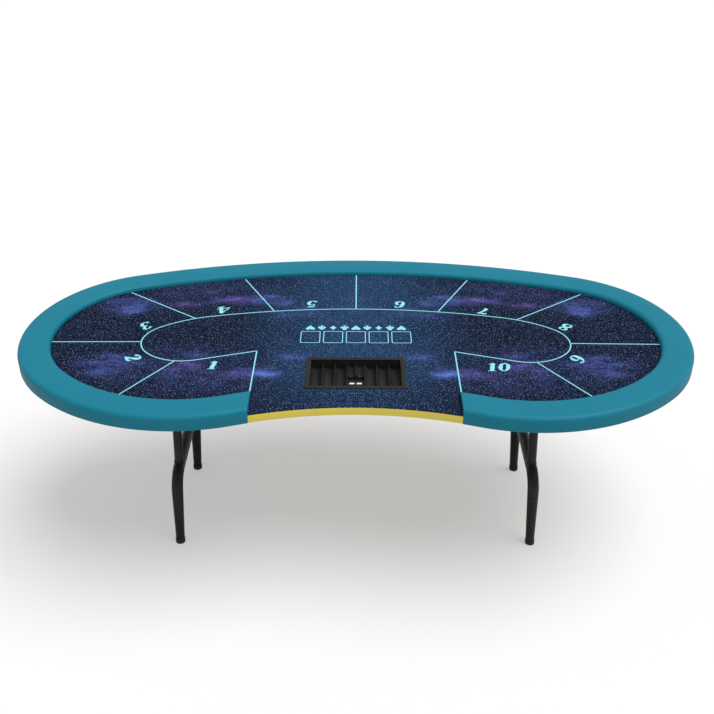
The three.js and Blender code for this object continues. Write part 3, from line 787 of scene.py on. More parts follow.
@once
def floor_finish():
    """A pale backdrop that looks brighter to the camera than it is to the table."""
    material, nodes, shader, at = new_finish("Floor")
    stage = bpy.context.scene.table_stage
    darker, lighter = shades(stage.floor, 0.995, 1.005)
    seen = nodes.add("ShaderNodeLightPath").outputs["Is Camera Ray"]
    set_inputs(
        nodes, shader, Base_Color=nodes.mix(nodes.noise(at, 0.8, 2.0), darker, lighter), Roughness=0.9,
        Specular_IOR_Level=0.0, Emission_Color=(1.0, 1.0, 1.0, 1.0),
        Emission_Strength=nodes.math("MULTIPLY", seen, stage.glow),
    )
    return material


# ---- rail ----

HEM_ROUND = 0.003
HEM_DROP = 0.0021  # how far the turned-under cover hangs below the board
SEAM = 0.0016
STAPLE = (0.011, 0.0011, 0.0007)
STAPLE_SPACING = 0.038


def rail_outside(pen, settings):
    """The cover's outer face: from its bottom outer corner over both shoulders to the cloth."""
    r = settings.round
    flat = RAIL_WIDTH - 2 * r
    drop = RAIL_TOP - r
    bulge = (flat ** 2 / 4 + settings.crown ** 2) / (2 * settings.crown)
    spread = math.degrees(2 * math.asin(flat / 2 / bulge))
    pen.line(0, drop).arc(-r, drop, 90, 8)
    pen.arc(-RAIL_WIDTH / 2, RAIL_TOP + settings.crown - bulge, spread, 8)
    pen.arc(-RAIL_WIDTH + r, drop, 90, 8)
    pen.line(-RAIL_WIDTH, CLOTH_TOP + GAP)


def cut_region(centre):
    """Whether a place is near the rail's +X end at the dealer's place."""
    return centre.y < -0.3 and centre.x < 0.5


def rail_cover(settings):
    """The padded cover: one long skin over the foam, turned under the board and hollow for the core."""
    bm = bmesh.new()
    hem_bottom = BOARD_BOTTOM - HEM_DROP
    back = SIDE_ARCS[0]
    pen = section_pen(bm, back, back.start, settings.hem, BOARD_BOTTOM - GAP)
    pen.line(-settings.hem, hem_bottom).line(-HEM_ROUND, hem_bottom)
    pen.arc(-HEM_ROUND, hem_bottom + HEM_ROUND, 90, 3)
    rail_outside(pen, settings)
    pen.line(-CORE_INNER, CLOTH_TOP + GAP).line(-CORE_INNER, CORE_TOP + GAP)
    pen.line(-SKIN, CORE_TOP + GAP).line(-SKIN, BOARD_BOTTOM - GAP).close()
    sweep(bm, [*SIDE_ARCS, CUT_ARC])
    cut(bm, RAIL_END_X + END_PANEL, True, cut_region)
    mirror_across(bm)
    return bm


def rail_end_panel(settings, side):
    """The flat panel that closes one end of the rail, sewn in with a small seam."""
    bm = bmesh.new()
    pen = section_pen(bm, CUT_ARC, CUT_ARC.start, 0.0, BOARD_BOTTOM)
    rail_outside(pen, settings)
    pen.line(-CORE_INNER, CLOTH_TOP + GAP).line(-CORE_INNER, BOARD_TOP + GAP)
    pen.line(-SKIN, BOARD_TOP + GAP).line(-SKIN, BOARD_BOTTOM).close()
    sweep(bm, [CUT_ARC])
    cut(bm, RAIL_END_X, True)
    cut(bm, RAIL_END_X + END_PANEL, False)
    tidy(bm)
    face = [e for e in sharp_edges(bm, 60) if all(v.co.x < RAIL_END_X + TINY for v in e.verts)]
    round_edges(bm, face, SEAM, 3)
    if side < 0:
        bmesh.ops.scale(bm, vec=(-1, 1, 1), verts=bm.verts[:])
    return bm


def staples(settings):
    """Staples that hold the turned-under hem, one every few centimetres round the table."""
    bm = bmesh.new()
    inset = settings.hem * 0.7
    for arc in SIDE_ARCS:
        radius = arc.radius - inset
        count = round(abs(arc.end - arc.start) * radius / STAPLE_SPACING)
        for i in range(count):
            angle = arc.start + (arc.end - arc.start) * (i + 0.5) / count
            place = arc_point(arc, angle, inset, BOARD_BOTTOM - HEM_DROP - GAP)
            turned = Matrix.Translation(place) @ Matrix.Rotation(angle + math.pi / 2, 4, "Z")
            bmesh.ops.create_cube(bm, size=1, matrix=turned @ Matrix.Diagonal((*STAPLE, 1)))
    mirror_across(bm)
    return bm


# ---- cloth and print ----

def rounded_rectangle(bm, z, x, y, half_x, half_y, corner, steps=6):
    """A closed wire round a centre, with rounded corners."""
    pen = plan_pen(bm, z, x + half_x, y - half_y + corner)
    for turn, (sx, sy) in enumerate(((1, 1), (-1, 1), (-1, -1), (1, -1))):
        along = ((half_x, half_y - corner), (half_x - corner, half_y))[turn % 2]
        pen.line(x + sx * along[0], y + sy * along[1])
        pen.arc(x + sx * (half_x - corner), y + sy * (half_y - corner), 90, steps)
    return pen


CLOTH_ROUND = 0.0022  # radius of the cloth's bend over the edge at the dealer's place
FLANGE_COVER = 0.010  # how far the tray's flange covers the cloth


def cloth_lip(bm):
    """The part of the cloth that bends over the edge at the dealer's place, on the +X side."""
    start = dealer_angle(APRON_X, CLOTH_ROUND)
    pen = section_pen(bm, DEALER_ARC, start, 0, BAND_TOP + GAP)
    pen.line(0, CLOTH_TOP - CLOTH_ROUND).arc(-CLOTH_ROUND, CLOTH_TOP - CLOTH_ROUND, 90, 4)
    sweep(bm, [DEALER_ARC._replace(start=start)])


def cloth_blank():
    """The cloth: everything inside the rail, with the tray's hole and an apron that wraps the edge."""
    bm = bmesh.new()
    pen = plan_pen(bm, CLOTH_TOP, 0, BACK_Y - CLOTH_INSET)
    for arc in SIDE_ARCS:
        pen.follow(arc)
    pen.follow(DEALER_ARC, end=dealer_angle(APRON_X, CLOTH_INSET))
    rim = arc_point(DEALER_ARC, dealer_angle(APRON_X, CLOTH_ROUND), CLOTH_ROUND)
    pen.line(rim.x, rim.y)
    pen.follow(DEALER_ARC, start=dealer_angle(APRON_X, CLOTH_ROUND))
    mirror_across(bm)
    hole = TRAY_HALF - Vector((FLANGE_COVER, FLANGE_COVER, 0))
    rounded_rectangle(bm, CLOTH_TOP, 0, TRAY_MIDDLE.y, hole.x, hole.y, TRAY_CORNER)
    bmesh.ops.remove_doubles(bm, verts=bm.verts[:], dist=TINY)
    fill_flat(bm)
    lip = bmesh.new()
    cloth_lip(lip)
    mirror_across(lip)
    append(bm, lip)
    tidy(bm)
    if sum(f.normal.z * f.calc_area() for f in bm.faces) < 0:
        bmesh.ops.reverse_faces(bm, faces=bm.faces[:])
    area = sum(f.calc_area() for f in bm.faces)
    bmesh.ops.solidify(bm, geom=bm.verts[:] + bm.edges[:] + bm.faces[:], thickness=CLOTH_TOP - CLOTH_BOTTOM)
    return bm, area


INK_BOTTOM = CLOTH_TOP + 0.00002
INK = 0.00018  # thickness of the print


def strip(bm, a, b, width):
    """A straight printed line from one place to another."""
    a, b = Vector((*a, INK_BOTTOM)), Vector((*b, INK_BOTTOM))
    run = b - a
    place = Matrix.Translation((a + b) / 2 + UP * INK / 2)
    turn = Matrix.Rotation(math.atan2(run.y, run.x), 4, "Z")
    bmesh.ops.create_cube(bm, size=1, matrix=place @ turn @ Matrix.Diagonal((run.length, width, INK, 1)))


# Ends of the lines between seats on the right, from under the rail to the long printed line.
SEAT_LINES = (
    ((0.0, 0.478), (0.0, 0.177)),
    ((0.462, 0.450), (0.311, 0.157)),
    ((0.915, 0.327), (0.602, 0.098)),
    ((1.120, -0.079), (0.773, -0.075)),
    ((0.815, -0.467), (0.632, -0.206)),
)
DEALER_LINE_END = -0.402


def printed_lines(width):
    bm = bmesh.new()
    arcs, corner, heading = arcs_along(0, LINE_START_Y, LINE_TURNS)
    start = arcs[0]
    pen = section_pen(bm, start, start.start, width / 2, INK_BOTTOM)
    ink_top = INK_BOTTOM + INK
    pen.line(width / 2, INK_BOTTOM).line(width / 2, ink_top).line(-width / 2, ink_top).close()
    last = sweep(bm, arcs)
    close_end(bm, edges_in(last))
    end = corner + Vector((math.cos(heading), math.sin(heading), 0)) * LINE_STRAIGHT
    mirror_across(bm)
    lines = [(corner[:2], end[:2]), (end[:2], (end.x, DEALER_LINE_END)), *SEAT_LINES]
    for a, b in lines:
        strip(bm, a, b, width)
        if a[0] > 0:
            strip(bm, (-a[0], a[1]), (-b[0], b[1]), width)
    return bm


CARD_BOX = (0.072, 0.084)
CARD_PITCH = 0.0828
CARD_Y = -0.036


def card_boxes(width):
    """Five rounded frames where the shared cards lie."""
    bm = bmesh.new()
    for i in range(-2, 3):
        for shrink in (0, width):
            rounded_rectangle(
                bm, INK_BOTTOM, i * CARD_PITCH, CARD_Y, CARD_BOX[0] / 2 - shrink,
                CARD_BOX[1] / 2 - shrink, 0.006 - shrink / 2,
            )
    fill_flat(bm)
    thicken(bm, UP * INK)
    return bm


# Half outlines of the four suits in a square of side 2, from top to bottom: lines and arcs.
def half_heart(pen):
    pen.arc(0.5, 0.35, -160, 12).line(0, -1)


def half_spade(pen):
    pen.line(0.72, 0.22).arc(0.46, -0.10, -205, 12).line(0.12, -0.55).line(0.34, -1).line(0, -1)


def half_diamond(pen):
    pen.line(0.30, 0.42).line(0.74, 0).line(0.30, -0.42).line(0, -1)


def half_club(pen):
    pen.arc(0, 0.52, -125, 10).arc(0.52, -0.12, -235, 14).line(0.10, -0.40).line(0.34, -1).line(0, -1)


PIPS = ((half_heart, 0.52), (half_spade, 1.0), (half_diamond, 1.0), (half_club, 1.0))
PIP_ROW_Y = 0.032
PIP_COUNT = 9
PIP_PITCH = 0.042
PIP_SIZE = 0.017


def pip_row():
    """A row of plain suit marks above the card boxes, for the players opposite."""
    bm = bmesh.new()
    for i in range(PIP_COUNT):
        half, top = PIPS[i % len(PIPS)]
        one = bmesh.new()
        pen = Pen(one, (0, 0, 0), (1, 0, 0), (0, 1, 0), (0, top))
        half(pen)
        mirror_across(one)
        bmesh.ops.remove_doubles(one, verts=one.verts[:], dist=TINY)
        fill_flat(one)
        thicken(one, UP * (INK / PIP_SIZE))
        x = (i - (PIP_COUNT - 1) / 2) * PIP_PITCH
        place = Matrix.Translation((x, PIP_ROW_Y, INK_BOTTOM)) @ Matrix.Rotation(math.pi, 4, "Z")
        bmesh.ops.transform(one, matrix=place @ Matrix.Scale(PIP_SIZE, 4), verts=one.verts[:])
        append(bm, one)
    return bm


# Fat-face digits as pen strokes in a box one unit high: each point is x, y and half the stroke's width.
DIGITS = {
    "0": [[(.30, .96, .03), (.11, .75, .10), (.09, .5, .12), (.11, .25, .10), (.30, .04, .03),
           (.49, .25, .10), (.51, .5, .12), (.49, .75, .10), (.30, .96, .03)]],
    "1": [[(.04, .80, .03), (.20, .88, .05), (.27, .97, .03)], [(.27, .93, .12), (.27, .06, .12)],
          [(.06, .03, .03), (.48, .03, .03)]],
    "2": [[(.10, .70, .10), (.12, .80, .09), (.28, .96, .04), (.47, .86, .09), (.49, .68, .12),
           (.34, .42, .09), (.10, .13, .05), (.06, .04, .03)],
          [(.08, .09, .06), (.30, .10, .10), (.48, .09, .09), (.55, .26, .03)]],
    "3": [[(.09, .76, .09), (.14, .88, .06), (.28, .96, .03), (.45, .86, .09), (.46, .70, .10),
           (.36, .56, .05), (.22, .52, .03)],
          [(.22, .52, .03), (.40, .48, .06), (.49, .33, .12), (.46, .14, .10), (.28, .04, .03),
           (.13, .10, .06), (.08, .23, .10)]],
    "4": [[(.46, .96, .04), (-.06, .34, .04)], [(-.08, .30, .04), (.72, .30, .04)],
          [(.46, .92, .12), (.46, .06, .12)], [(.24, .03, .03), (.68, .03, .03)]],
    "5": [[(.13, .95, .03), (.13, .55, .03)], [(.15, .90, .07), (.35, .87, .08), (.52, .93, .04)],
          [(.13, .55, .03), (.30, .64, .04), (.48, .50, .10), (.50, .30, .12), (.42, .10, .07),
           (.26, .04, .03), (.12, .12, .07), (.09, .22, .09)]],
    "6": [[(.49, .80, .09), (.42, .92, .05), (.30, .96, .03), (.13, .78, .09), (.09, .5, .12),
           (.11, .22, .10), (.29, .04, .03), (.47, .15, .09), (.50, .32, .11), (.45, .50, .07),
           (.31, .58, .03), (.17, .50, .03)]],
    "7": [[(.05, .74, .03), (.10, .88, .08), (.30, .87, .10), (.50, .90, .07), (.57, .96, .03)],
          [(.55, .92, .03), (.36, .60, .06), (.27, .32, .11), (.27, .08, .12)]],
    "8": [[(.30, .96, .03), (.13, .86, .08), (.12, .70, .09), (.30, .53, .08), (.49, .33, .11),
           (.48, .16, .09), (.30, .04, .03), (.10, .14, .07), (.10, .32, .08), (.30, .52, .06),
           (.46, .70, .07), (.46, .86, .06), (.30, .96, .03)]],
    "9": [[(.11, .20, .09), (.18, .08, .05), (.30, .04, .03), (.47, .22, .09), (.51, .5, .12),
           (.49, .78, .10), (.31, .96, .03), (.13, .85, .09), (.10, .68, .11), (.15, .50, .07),
           (.29, .42, .03), (.43, .50, .03)]],
}
DIGIT_WIDTH = 0.64
DIGIT_SLANT = 0.16
DIGIT_STRETCH = 1.14

# Middle of each seat number, and how far the printed line has turned there.
SEAT_NUMBERS = (
    ("1", -0.490, -0.232, 180), ("2", -0.780, -0.187, 122), ("3", -0.779, 0.040, 36),
    ("4", -0.506, 0.166, 18), ("5", -0.172, 0.215, 4), ("6", 0.165, 0.215, 4),
    ("7", 0.486, 0.166, 18), ("8", 0.775, 0.045, 36), ("9", 0.778, -0.182, 122),
    ("10", 0.496, -0.237, 180),
)


def number_mesh(text, height):
    """A number as one flat mesh, centred on the origin and upright towards +Y."""
    curve = bpy.data.curves.new("number", "CURVE")
    curve.dimensions = "3D"
    curve.bevel_depth = height
    curve.bevel_resolution = 2
    curve.use_fill_caps = True
    curve.resolution_u = 5
    middle = len(text) * DIGIT_WIDTH / 2
    for place, digit in enumerate(text):
        for stroke in DIGITS[digit]:
            spline = curve.splines.new("BEZIER")
            spline.bezier_points.add(len(stroke) - 1)
            for point, (x, y, half_width) in zip(spline.bezier_points, stroke):
                across = x + place * DIGIT_WIDTH - middle + (y - 0.5) * DIGIT_SLANT
                point.co = (across * height, (y - 0.5) * height, 0)
                point.radius = half_width
                point.handle_left_type = point.handle_right_type = "AUTO"
    shape = bpy.data.objects.new("number", curve)
    bpy.context.scene.collection.objects.link(shape)
    mesh = bpy.data.meshes.new_from_object(shape.evaluated_get(bpy.context.evaluated_depsgraph_get()))
    bpy.data.objects.remove(shape)
    bpy.data.curves.remove(curve)
    return mesh


def seat_numbers(height):
    bm = bmesh.new()
    thickest = max(w for strokes in DIGITS.values() for stroke in strokes for *_, w in stroke)
    for text, x, y, turn in SEAT_NUMBERS:
        mesh = number_mesh(text, height)
        flat = Matrix.Diagonal((DIGIT_STRETCH, 1, INK / (thickest * height), 1))
        turned = Matrix.Rotation(math.pi - math.copysign(math.radians(turn), x), 4, "Z")
        mesh.transform(Matrix.Translation((x, y, INK_BOTTOM + INK)) @ turned @ flat)
        bm.from_mesh(mesh)
        bpy.data.meshes.remove(mesh)
    return bm


# ---- dealer's edge ----

def edge_band(settings):
    bm = bmesh.new()
    start = dealer_angle(APRON_X, 0)
    arc = DEALER_ARC._replace(start=start, end=math.pi - start, steps=40)
    pen = section_pen(bm, arc, start, 0, BOARD_BOTTOM)
    pen.line(0, BAND_TOP).line(-SKIN, BAND_TOP).line(-SKIN, BOARD_BOTTOM).close()
    ring = bm.edges[:]
    last = sweep(bm, [arc])
    close_end(bm, ring)
    close_end(bm, edges_in(last))
    tidy(bm)
    outer = [e for e in sharp_edges(bm, 60) if all(
        math.hypot(v.co.x - arc.x, v.co.y - arc.y) < arc.radius + SKIN / 2 for v in e.verts
    )]
    round_edges(bm, outer, settings.edge, 3)
    return bm


# ---- chip tray ----

WELLS = 3
WELL_PITCH, WELL_WIDTH = 0.0422, 0.0394
NARROW_PITCH, NARROW_WIDTH = 0.0305, 0.0277
WELL_Y = (-0.364, -0.197)
POCKET_Y = -0.266
WELL_FLOOR, NARROW_FLOOR, WELL_RIM = 0.725, 0.733, 0.747
SLOT_X, SLOT_Y, SLOT_SIZE = 0.0128, -0.290, (0.017, 0.012)
TRAY_FLANGE = 0.0026
TRAY_WALL = 0.011
# Shallow recesses in the flange, each floored with a black pad that paints the shade of a deep hole: middle,
# half length, half width and depth.
RECESSES = (
    (0.0, -0.1865, 0.014, 0.0025, 0.0018), (-0.135, -0.3715, 0.016, 0.0015, 0.0007),
    (0.122, -0.3715, 0.016, 0.0015, 0.0007),
)


def trough_block(bm, x, widths, pitch, floor, y_range, edge):
    """A solid block with round-bottomed troughs along Y, from one x on, with rounded rims."""
    part = bmesh.new()
    total = pitch * len(widths)
    pen = Pen(part, (0, y_range[0], 0), (1, 0, 0), UP, (x, TRAY_LOW.z))
    pen.line(x + total, TRAY_LOW.z).line(x + total, WELL_RIM)
    for i, width in reversed(list(enumerate(widths))):
        radius = width / 2
        middle = x + (i + 0.5) * pitch
        pen.line(middle + radius, WELL_RIM).line(middle + radius, floor + radius)
        pen.arc(middle, floor + radius, -180, 20)
        pen.line(middle - radius, WELL_RIM)
    pen.line(x, WELL_RIM).close()
    bmesh.ops.remove_doubles(part, verts=part.verts[:], dist=TINY)
    fill_flat(part, (0, 1, 0))
    thicken(part, (0, y_range[1] - y_range[0], 0))
    bmesh.ops.recalc_face_normals(part, faces=part.faces[:])
    rims = [
        e for e in sharp_edges(part, 60)
        if abs(e.verts[0].co.y - e.verts[1].co.y) > 0.01 and min(v.co.z for v in e.verts) > WELL_RIM - TINY
    ]
    round_edges(part, rims, edge, 3)
    append(bm, part)


def slab_with_hole(bm, draw_outer, draw_inner, z, height, edge):
    """A flat ring between two wires, with its upper edges rounded."""
    part = bmesh.new()
    draw_outer(part, z)
    draw_inner(part, z)
    bmesh.ops.remove_doubles(part, verts=part.verts[:], dist=TINY)
    fill_flat(part)
    thicken(part, UP * height)
    bmesh.ops.recalc_face_normals(part, faces=part.faces[:])
    top = [e for e in sharp_edges(part, 60) if all(v.co.z > z + height - TINY for v in e.verts)]
    round_edges(part, top, edge, 3)
    append(bm, part)


def chip_tray(settings):
    """The drop-in tray: a flange on the cloth, a tub through the board and troughs for the chips."""
    bm = bmesh.new()
    inner_x = NARROW_PITCH + WELLS * WELL_PITCH - (WELL_PITCH - WELL_WIDTH) / 2
    opening = Vector((inner_x, (WELL_Y[1] - WELL_Y[0]) / 2))
    opening_y = (WELL_Y[0] + WELL_Y[1]) / 2

    def opening_wire(part, z):
        rounded_rectangle(part, z, 0, opening_y, opening.x, opening.y, 0.002, 3)

    def flange_holes(part, z):
        opening_wire(part, z)
        for x, y, half_x, half_y, _ in RECESSES:
            rounded_rectangle(part, z, x, y, half_x, half_y, 0.0008, 2)

    def flange_wire(part, z):
        rounded_rectangle(part, z, 0, TRAY_MIDDLE.y, TRAY_HALF.x, TRAY_HALF.y, TRAY_CORNER)

    def tub_wire(part, z):
        half_x, half_y = TRAY_HALF.x - TRAY_WALL, TRAY_HALF.y - TRAY_WALL
        rounded_rectangle(part, z, 0, TRAY_MIDDLE.y, half_x, half_y, TRAY_CORNER)

    flange_bottom = TRAY_HIGH.z - TRAY_FLANGE
    slab_with_hole(bm, tub_wire, opening_wire, TRAY_LOW.z, flange_bottom - TRAY_LOW.z + 0.001, 0.0)
    slab_with_hole(bm, flange_wire, flange_holes, flange_bottom, TRAY_FLANGE, settings.edge)
    edge = settings.edge * 1.4
    wide = [WELL_WIDTH] * WELLS
    trough_block(bm, NARROW_PITCH, wide, WELL_PITCH, WELL_FLOOR, WELL_Y, edge)
    trough_block(bm, -NARROW_PITCH - WELLS * WELL_PITCH, wide, WELL_PITCH, WELL_FLOOR, WELL_Y, edge)
    narrow = [NARROW_WIDTH] * 2
    trough_block(bm, -NARROW_PITCH, narrow, NARROW_PITCH, NARROW_FLOOR, (POCKET_Y, WELL_Y[1]), edge)
    pocket_x = NARROW_PITCH - (NARROW_PITCH - NARROW_WIDTH) / 2
    for side in (-1, 1):
        xs = sorted((side * pocket_x, side * NARROW_PITCH))
        box_between(bm, (xs[0], WELL_Y[0], TRAY_LOW.z), (xs[1], POCKET_Y, WELL_RIM))
    part = bmesh.new()
    box_y = (WELL_Y[0] + POCKET_Y) / 2
    rounded_rectangle(part, TRAY_LOW.z, 0, box_y, pocket_x, (POCKET_Y - WELL_Y[0]) / 2, 0.001, 2)
    slot_x, slot_y = SLOT_SIZE[0] / 2, SLOT_SIZE[1] / 2
    for side in (-1, 1):
        rounded_rectangle(part, TRAY_LOW.z, side * SLOT_X, SLOT_Y, slot_x, slot_y, 0.001, 2)
    fill_flat(part)
    thicken(part, UP * (WELL_FLOOR - TRAY_LOW.z))
    append(bm, part)
    return bm


def recess_shade_pads():
    """Black pads in the recesses of the tray's flange, put there as painted shade of a deep hole."""
    bm = bmesh.new()
    for x, y, half_x, half_y, depth in RECESSES:
        low = (x - half_x, y - half_y, TRAY_HIGH.z - TRAY_FLANGE)
        box_between(bm, low, (x + half_x, y + half_y, TRAY_HIGH.z - depth))
    return bm


# ---- leg frames ----

def frame_place(side):
    """Where a leg frame's own axes stand: the pivot is their origin and the legs hang towards -Z."""
    return Matrix.Translation((side * PIVOT.x, 0, PIVOT.z)) @ Matrix.Rotation(-side * LEAN, 4, "Y")


def circle_wire(bm, radius, centre, upright, sides=28):
    """A ring across Z, or across Y when it isn't upright."""
    turn = Matrix.Identity(4) if upright else Matrix.Rotation(math.pi / 2, 4, "X")
    place = Matrix.Translation(centre) @ turn
    made = bmesh.ops.create_circle(bm, radius=radius, segments=sides, matrix=place)
    return list({e for v in made["verts"] for e in v.link_edges})


def draw_out(bm, ring, move, scale=1.0):
    """Extrudes a ring of edges and returns the new ring."""
    made = bmesh.ops.extrude_edge_only(bm, edges=ring)["geom"]
    verts = verts_in(made)
    bmesh.ops.translate(bm, verts=verts, vec=move)
    middle = sum((v.co for v in verts), Vector()) / len(verts)
    bmesh.ops.scale(bm, vec=(scale,) * 3, space=Matrix.Translation(-middle), verts=verts)
    return edges_in(made)


def tube(bm, radius, start, end):
    """A closed round bar from one place to another along Y or Z."""
    start, end = Vector(start), Vector(end)
    run = end - start
    ring = circle_wire(bm, radius, start, abs(run.z) > abs(run.y))
    close_end(bm, ring)
    close_end(bm, draw_out(bm, ring, run))


def leg_radius(settings, drop):
    straight = RAIL_DROP + settings.bend
    share = (FLOOR_DROP - drop) / (FLOOR_DROP - straight)
    return settings.foot + (settings.knee - settings.foot) * share


def lower_leg(settings, y, inward):
    """A tapered leg with its bend and the short level end that carries the cross rail."""
    bm = bmesh.new()
    knee_drop = RAIL_DROP + settings.bend
    foot = leg_radius(settings, SHORT_END)
    ring = circle_wire(bm, foot, (0, y, -SHORT_END), True)
    close_end(bm, ring)
    ring = draw_out(bm, ring, UP * (SHORT_END - knee_drop), settings.knee / foot)
    verts = list({v for e in ring for v in e.verts})
    made = bmesh.ops.spin(
        bm, geom=verts + ring, cent=(0, y + inward * settings.bend, -knee_drop), axis=(1, 0, 0),
        angle=-inward * math.pi / 2, steps=14,
    )
    close_end(bm, draw_out(bm, edges_in(made["geom_last"]), (0, inward * KNEE_STUB, 0)))
    return bm


def weld_bead(bm, radius, centre, upright, thickness=0.0022):
    """A ring of weld metal round a tube, a little uneven."""
    rng = random.Random(round(1e4 * (centre[1] + 3 * centre[2])))
    ring = circle_wire(bm, thickness, (radius, 0, 0), False, 8)
    verts = list({v for e in ring for v in e.verts})
    before = set(bm.verts) - set(verts)
    bmesh.ops.spin(
        bm, geom=verts + ring, cent=(0, 0, 0), axis=UP, angle=2 * math.pi, steps=36, use_merge=True
    )
    made = [v for v in bm.verts if v not in before]
    for v in made:
        v.co += Vector([rng.uniform(-0.0003, 0.0003) for _ in range(3)])
    turn = Matrix.Identity(4) if upright else Matrix.Rotation(math.pi / 2, 4, "X")
    bmesh.ops.transform(bm, matrix=Matrix.Translation(centre) @ turn, verts=made)


def foot_cap(settings, y, side):
    """A ribbed rubber cup on the leg's end, cut level with the floor."""
    bm = bmesh.new()
    grip = leg_radius(settings, SHORT_END - CAP_GRIP)
    low = -CAP_SOLE - 0.004
    points = [
        (0, low), (0.0165, low), (0.0178, low + 0.0050), (0.0178, 0.003), (0.0172, 0.004), (0.0178, 0.005),
        (0.0178, CAP_GRIP - 0.003), (0.0173, CAP_GRIP - 0.0008), (grip + 0.0006, CAP_GRIP),
        (grip + GAP, CAP_GRIP - 0.001), (settings.foot + GAP, -GAP), (0, -GAP),
    ]
    lathe(bm, points, 32, (0, y, -SHORT_END))
    bmesh.ops.transform(bm, matrix=frame_place(side), verts=bm.verts[:])
    made = bmesh.ops.bisect_plane(
        bm, geom=bm.verts[:] + bm.edges[:] + bm.faces[:], plane_co=(0, 0, 0), plane_no=(0, 0, 1),
        clear_inner=True,
    )
    close_end(bm, edges_in(made["geom_cut"]))
    return bm


def pivot_tube():
    """The turning tube under the board, closed and rounded at its ends."""
    bm = bmesh.new()
    tube(bm, PIVOT_RADIUS, (0, PIVOT_LOW.y, 0), (0, PIVOT_HIGH.y, 0))
    bmesh.ops.recalc_face_normals(bm, faces=bm.faces[:])
    round_edges(bm, sharp_edges(bm, 60), 0.0016, 3)
    return bm


def place_in_frame(bm, side):
    bmesh.ops.transform(bm, matrix=frame_place(side), verts=bm.verts[:])
    return bm


def leg_frame(settings, name, side):
    body = f"leg_frame_{name}"
    steel = {"body": body, "slot": "black_steel", "material": paint_finish()}
    front, rear = LEG_Y
    uppers = {"front": front + UPPER_OFFSET, "rear": rear - UPPER_OFFSET}

    def add_steel(bm, piece, *replaces):
        add_piece(place_in_frame(bm, side), f"{piece}_{name}", replaces=replaces, **steel)

    add_steel(pivot_tube(), "turning_tube", f"pivot_tube_{name}")
    for end, y in zip(ENDS, LEG_Y):
        inward = 1 if end == "front" else -1
        add_steel(lower_leg(settings, y, inward), f"tapered_leg_{end}", f"lower_leg_{end}_{name}")
        cap = foot_cap(settings, y, side)
        add_piece(
            cap, f"rubber_foot_{end}_{name}", rubber_and_shade_finish(), body, [f"foot_cap_{end}_{name}"],
            "foot_rubber",
        )
        upright = bmesh.new()
        top = (0, uppers[end], -PIVOT_RADIUS * 0.6)
        tube(upright, settings.upper, (0, uppers[end], -RAIL_DROP + settings.knee * 0.7), top)
        add_steel(upright, f"upright_tube_{end}", f"upper_tube_{end}_{name}")
    stub = settings.bend + KNEE_STUB
    rail = bmesh.new()
    tube(rail, settings.knee, (0, front + stub, -RAIL_DROP), (0, rear - stub, -RAIL_DROP))
    add_steel(rail, "lower_rail", f"cross_rail_{name}")
    bar = bmesh.new()
    tube(bar, BRACE_TUBE, (0, uppers["front"], -BRACE_DROP), (0, uppers["rear"], -BRACE_DROP))
    add_steel(bar, "stiffening_bar", f"brace_tube_{name}")

    beads = bmesh.new()
    for end, y in uppers.items():
        weld_bead(beads, settings.upper, (0, y, -RAIL_DROP + settings.knee), True)
        weld_bead(beads, settings.upper - 0.001, (0, y, -PIVOT_RADIUS), True)
        toward = 1 if end == "front" else -1
        weld_bead(beads, BRACE_TUBE, (0, y + toward * settings.upper, -BRACE_DROP), False)
    add_steel(beads, "weld_beads")


# ---- brackets, links and fasteners ----

# Radius of the head, the shank and the socket of each kind of fastener.
FASTENERS = {"screw": (0.0050, 0.0023, 0.0019), "rail_bolt": (0.0090, 0.0040, 0.0040)}


def fastener(node, head, shank, socket):
    """A domed head with a six-sided socket, hanging below its seat, on a plain shank."""
    low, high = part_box(node)
    middle = (low + high) / 2
    tall = head * 0.58
    deep = tall * 0.6
    seat = low.z + tall
    points = [
        (0, deep), (socket, deep), (socket, 0), (head * 0.62, 0), (head * 0.84, tall * 0.16),
        (head * 0.96, tall * 0.42), (head, tall * 0.75), (head, tall), (shank, tall),
        (shank, high.z - low.z), (0, high.z - low.z),
    ]
    bm = bmesh.new()
    made = lathe(bm, points, 24, (middle.x, middle.y, low.z))
    for v in made:
        off = Vector((v.co.x - middle.x, v.co.y - middle.y))
        if v.co.z < seat and off.length < socket * 1.05 and off.length > TINY:
            corner = (math.atan2(off.y, off.x) + math.pi / 6) % (math.pi / 3) - math.pi / 6
            off *= math.cos(math.pi / 6) / math.cos(math.pi / 6 - abs(corner))
            v.co.x, v.co.y = middle.x + off.x, middle.y + off.y
    return bm


def elbow_rivet(node):
    """The pin of a brace's elbow, with a domed head at one end."""
    low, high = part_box(node)
    middle = (low + high) / 2
    long = high.y - low.y
    head = (high.x - low.x) / 2
    bm = bmesh.new()
    points = [
        (0, 0), (0.0036, 0), (0.0040, 0.0005), (0.0040, long - 0.0023), (head, long - 0.0023),
        (head, long - 0.0014), (head * 0.86, long - 0.0004), (head * 0.5, long), (0, long),
    ]
    verts = lathe(bm, points, 24)
    turn = Matrix.Translation((middle.x, low.y, middle.z)) @ Matrix.Rotation(-math.pi / 2, 4, "X")
    bmesh.ops.transform(bm, matrix=turn, verts=verts)
    return bm


# ---- operators ----

class BuildCore(bpy.types.Operator):
    """Finishes the board, the underlay and the rail's wooden core"""

    bl_idname = "poker_table.build_core"
    bl_label = "Board and core"

    def execute(self, context):
        for node, finish in (
            ("table_board", plywood_finish), ("rail_core", plywood_finish), ("foam_underlay", foam_finish),
        ):
            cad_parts[node].material_slots[0].material = finish()
        return {"FINISHED"}


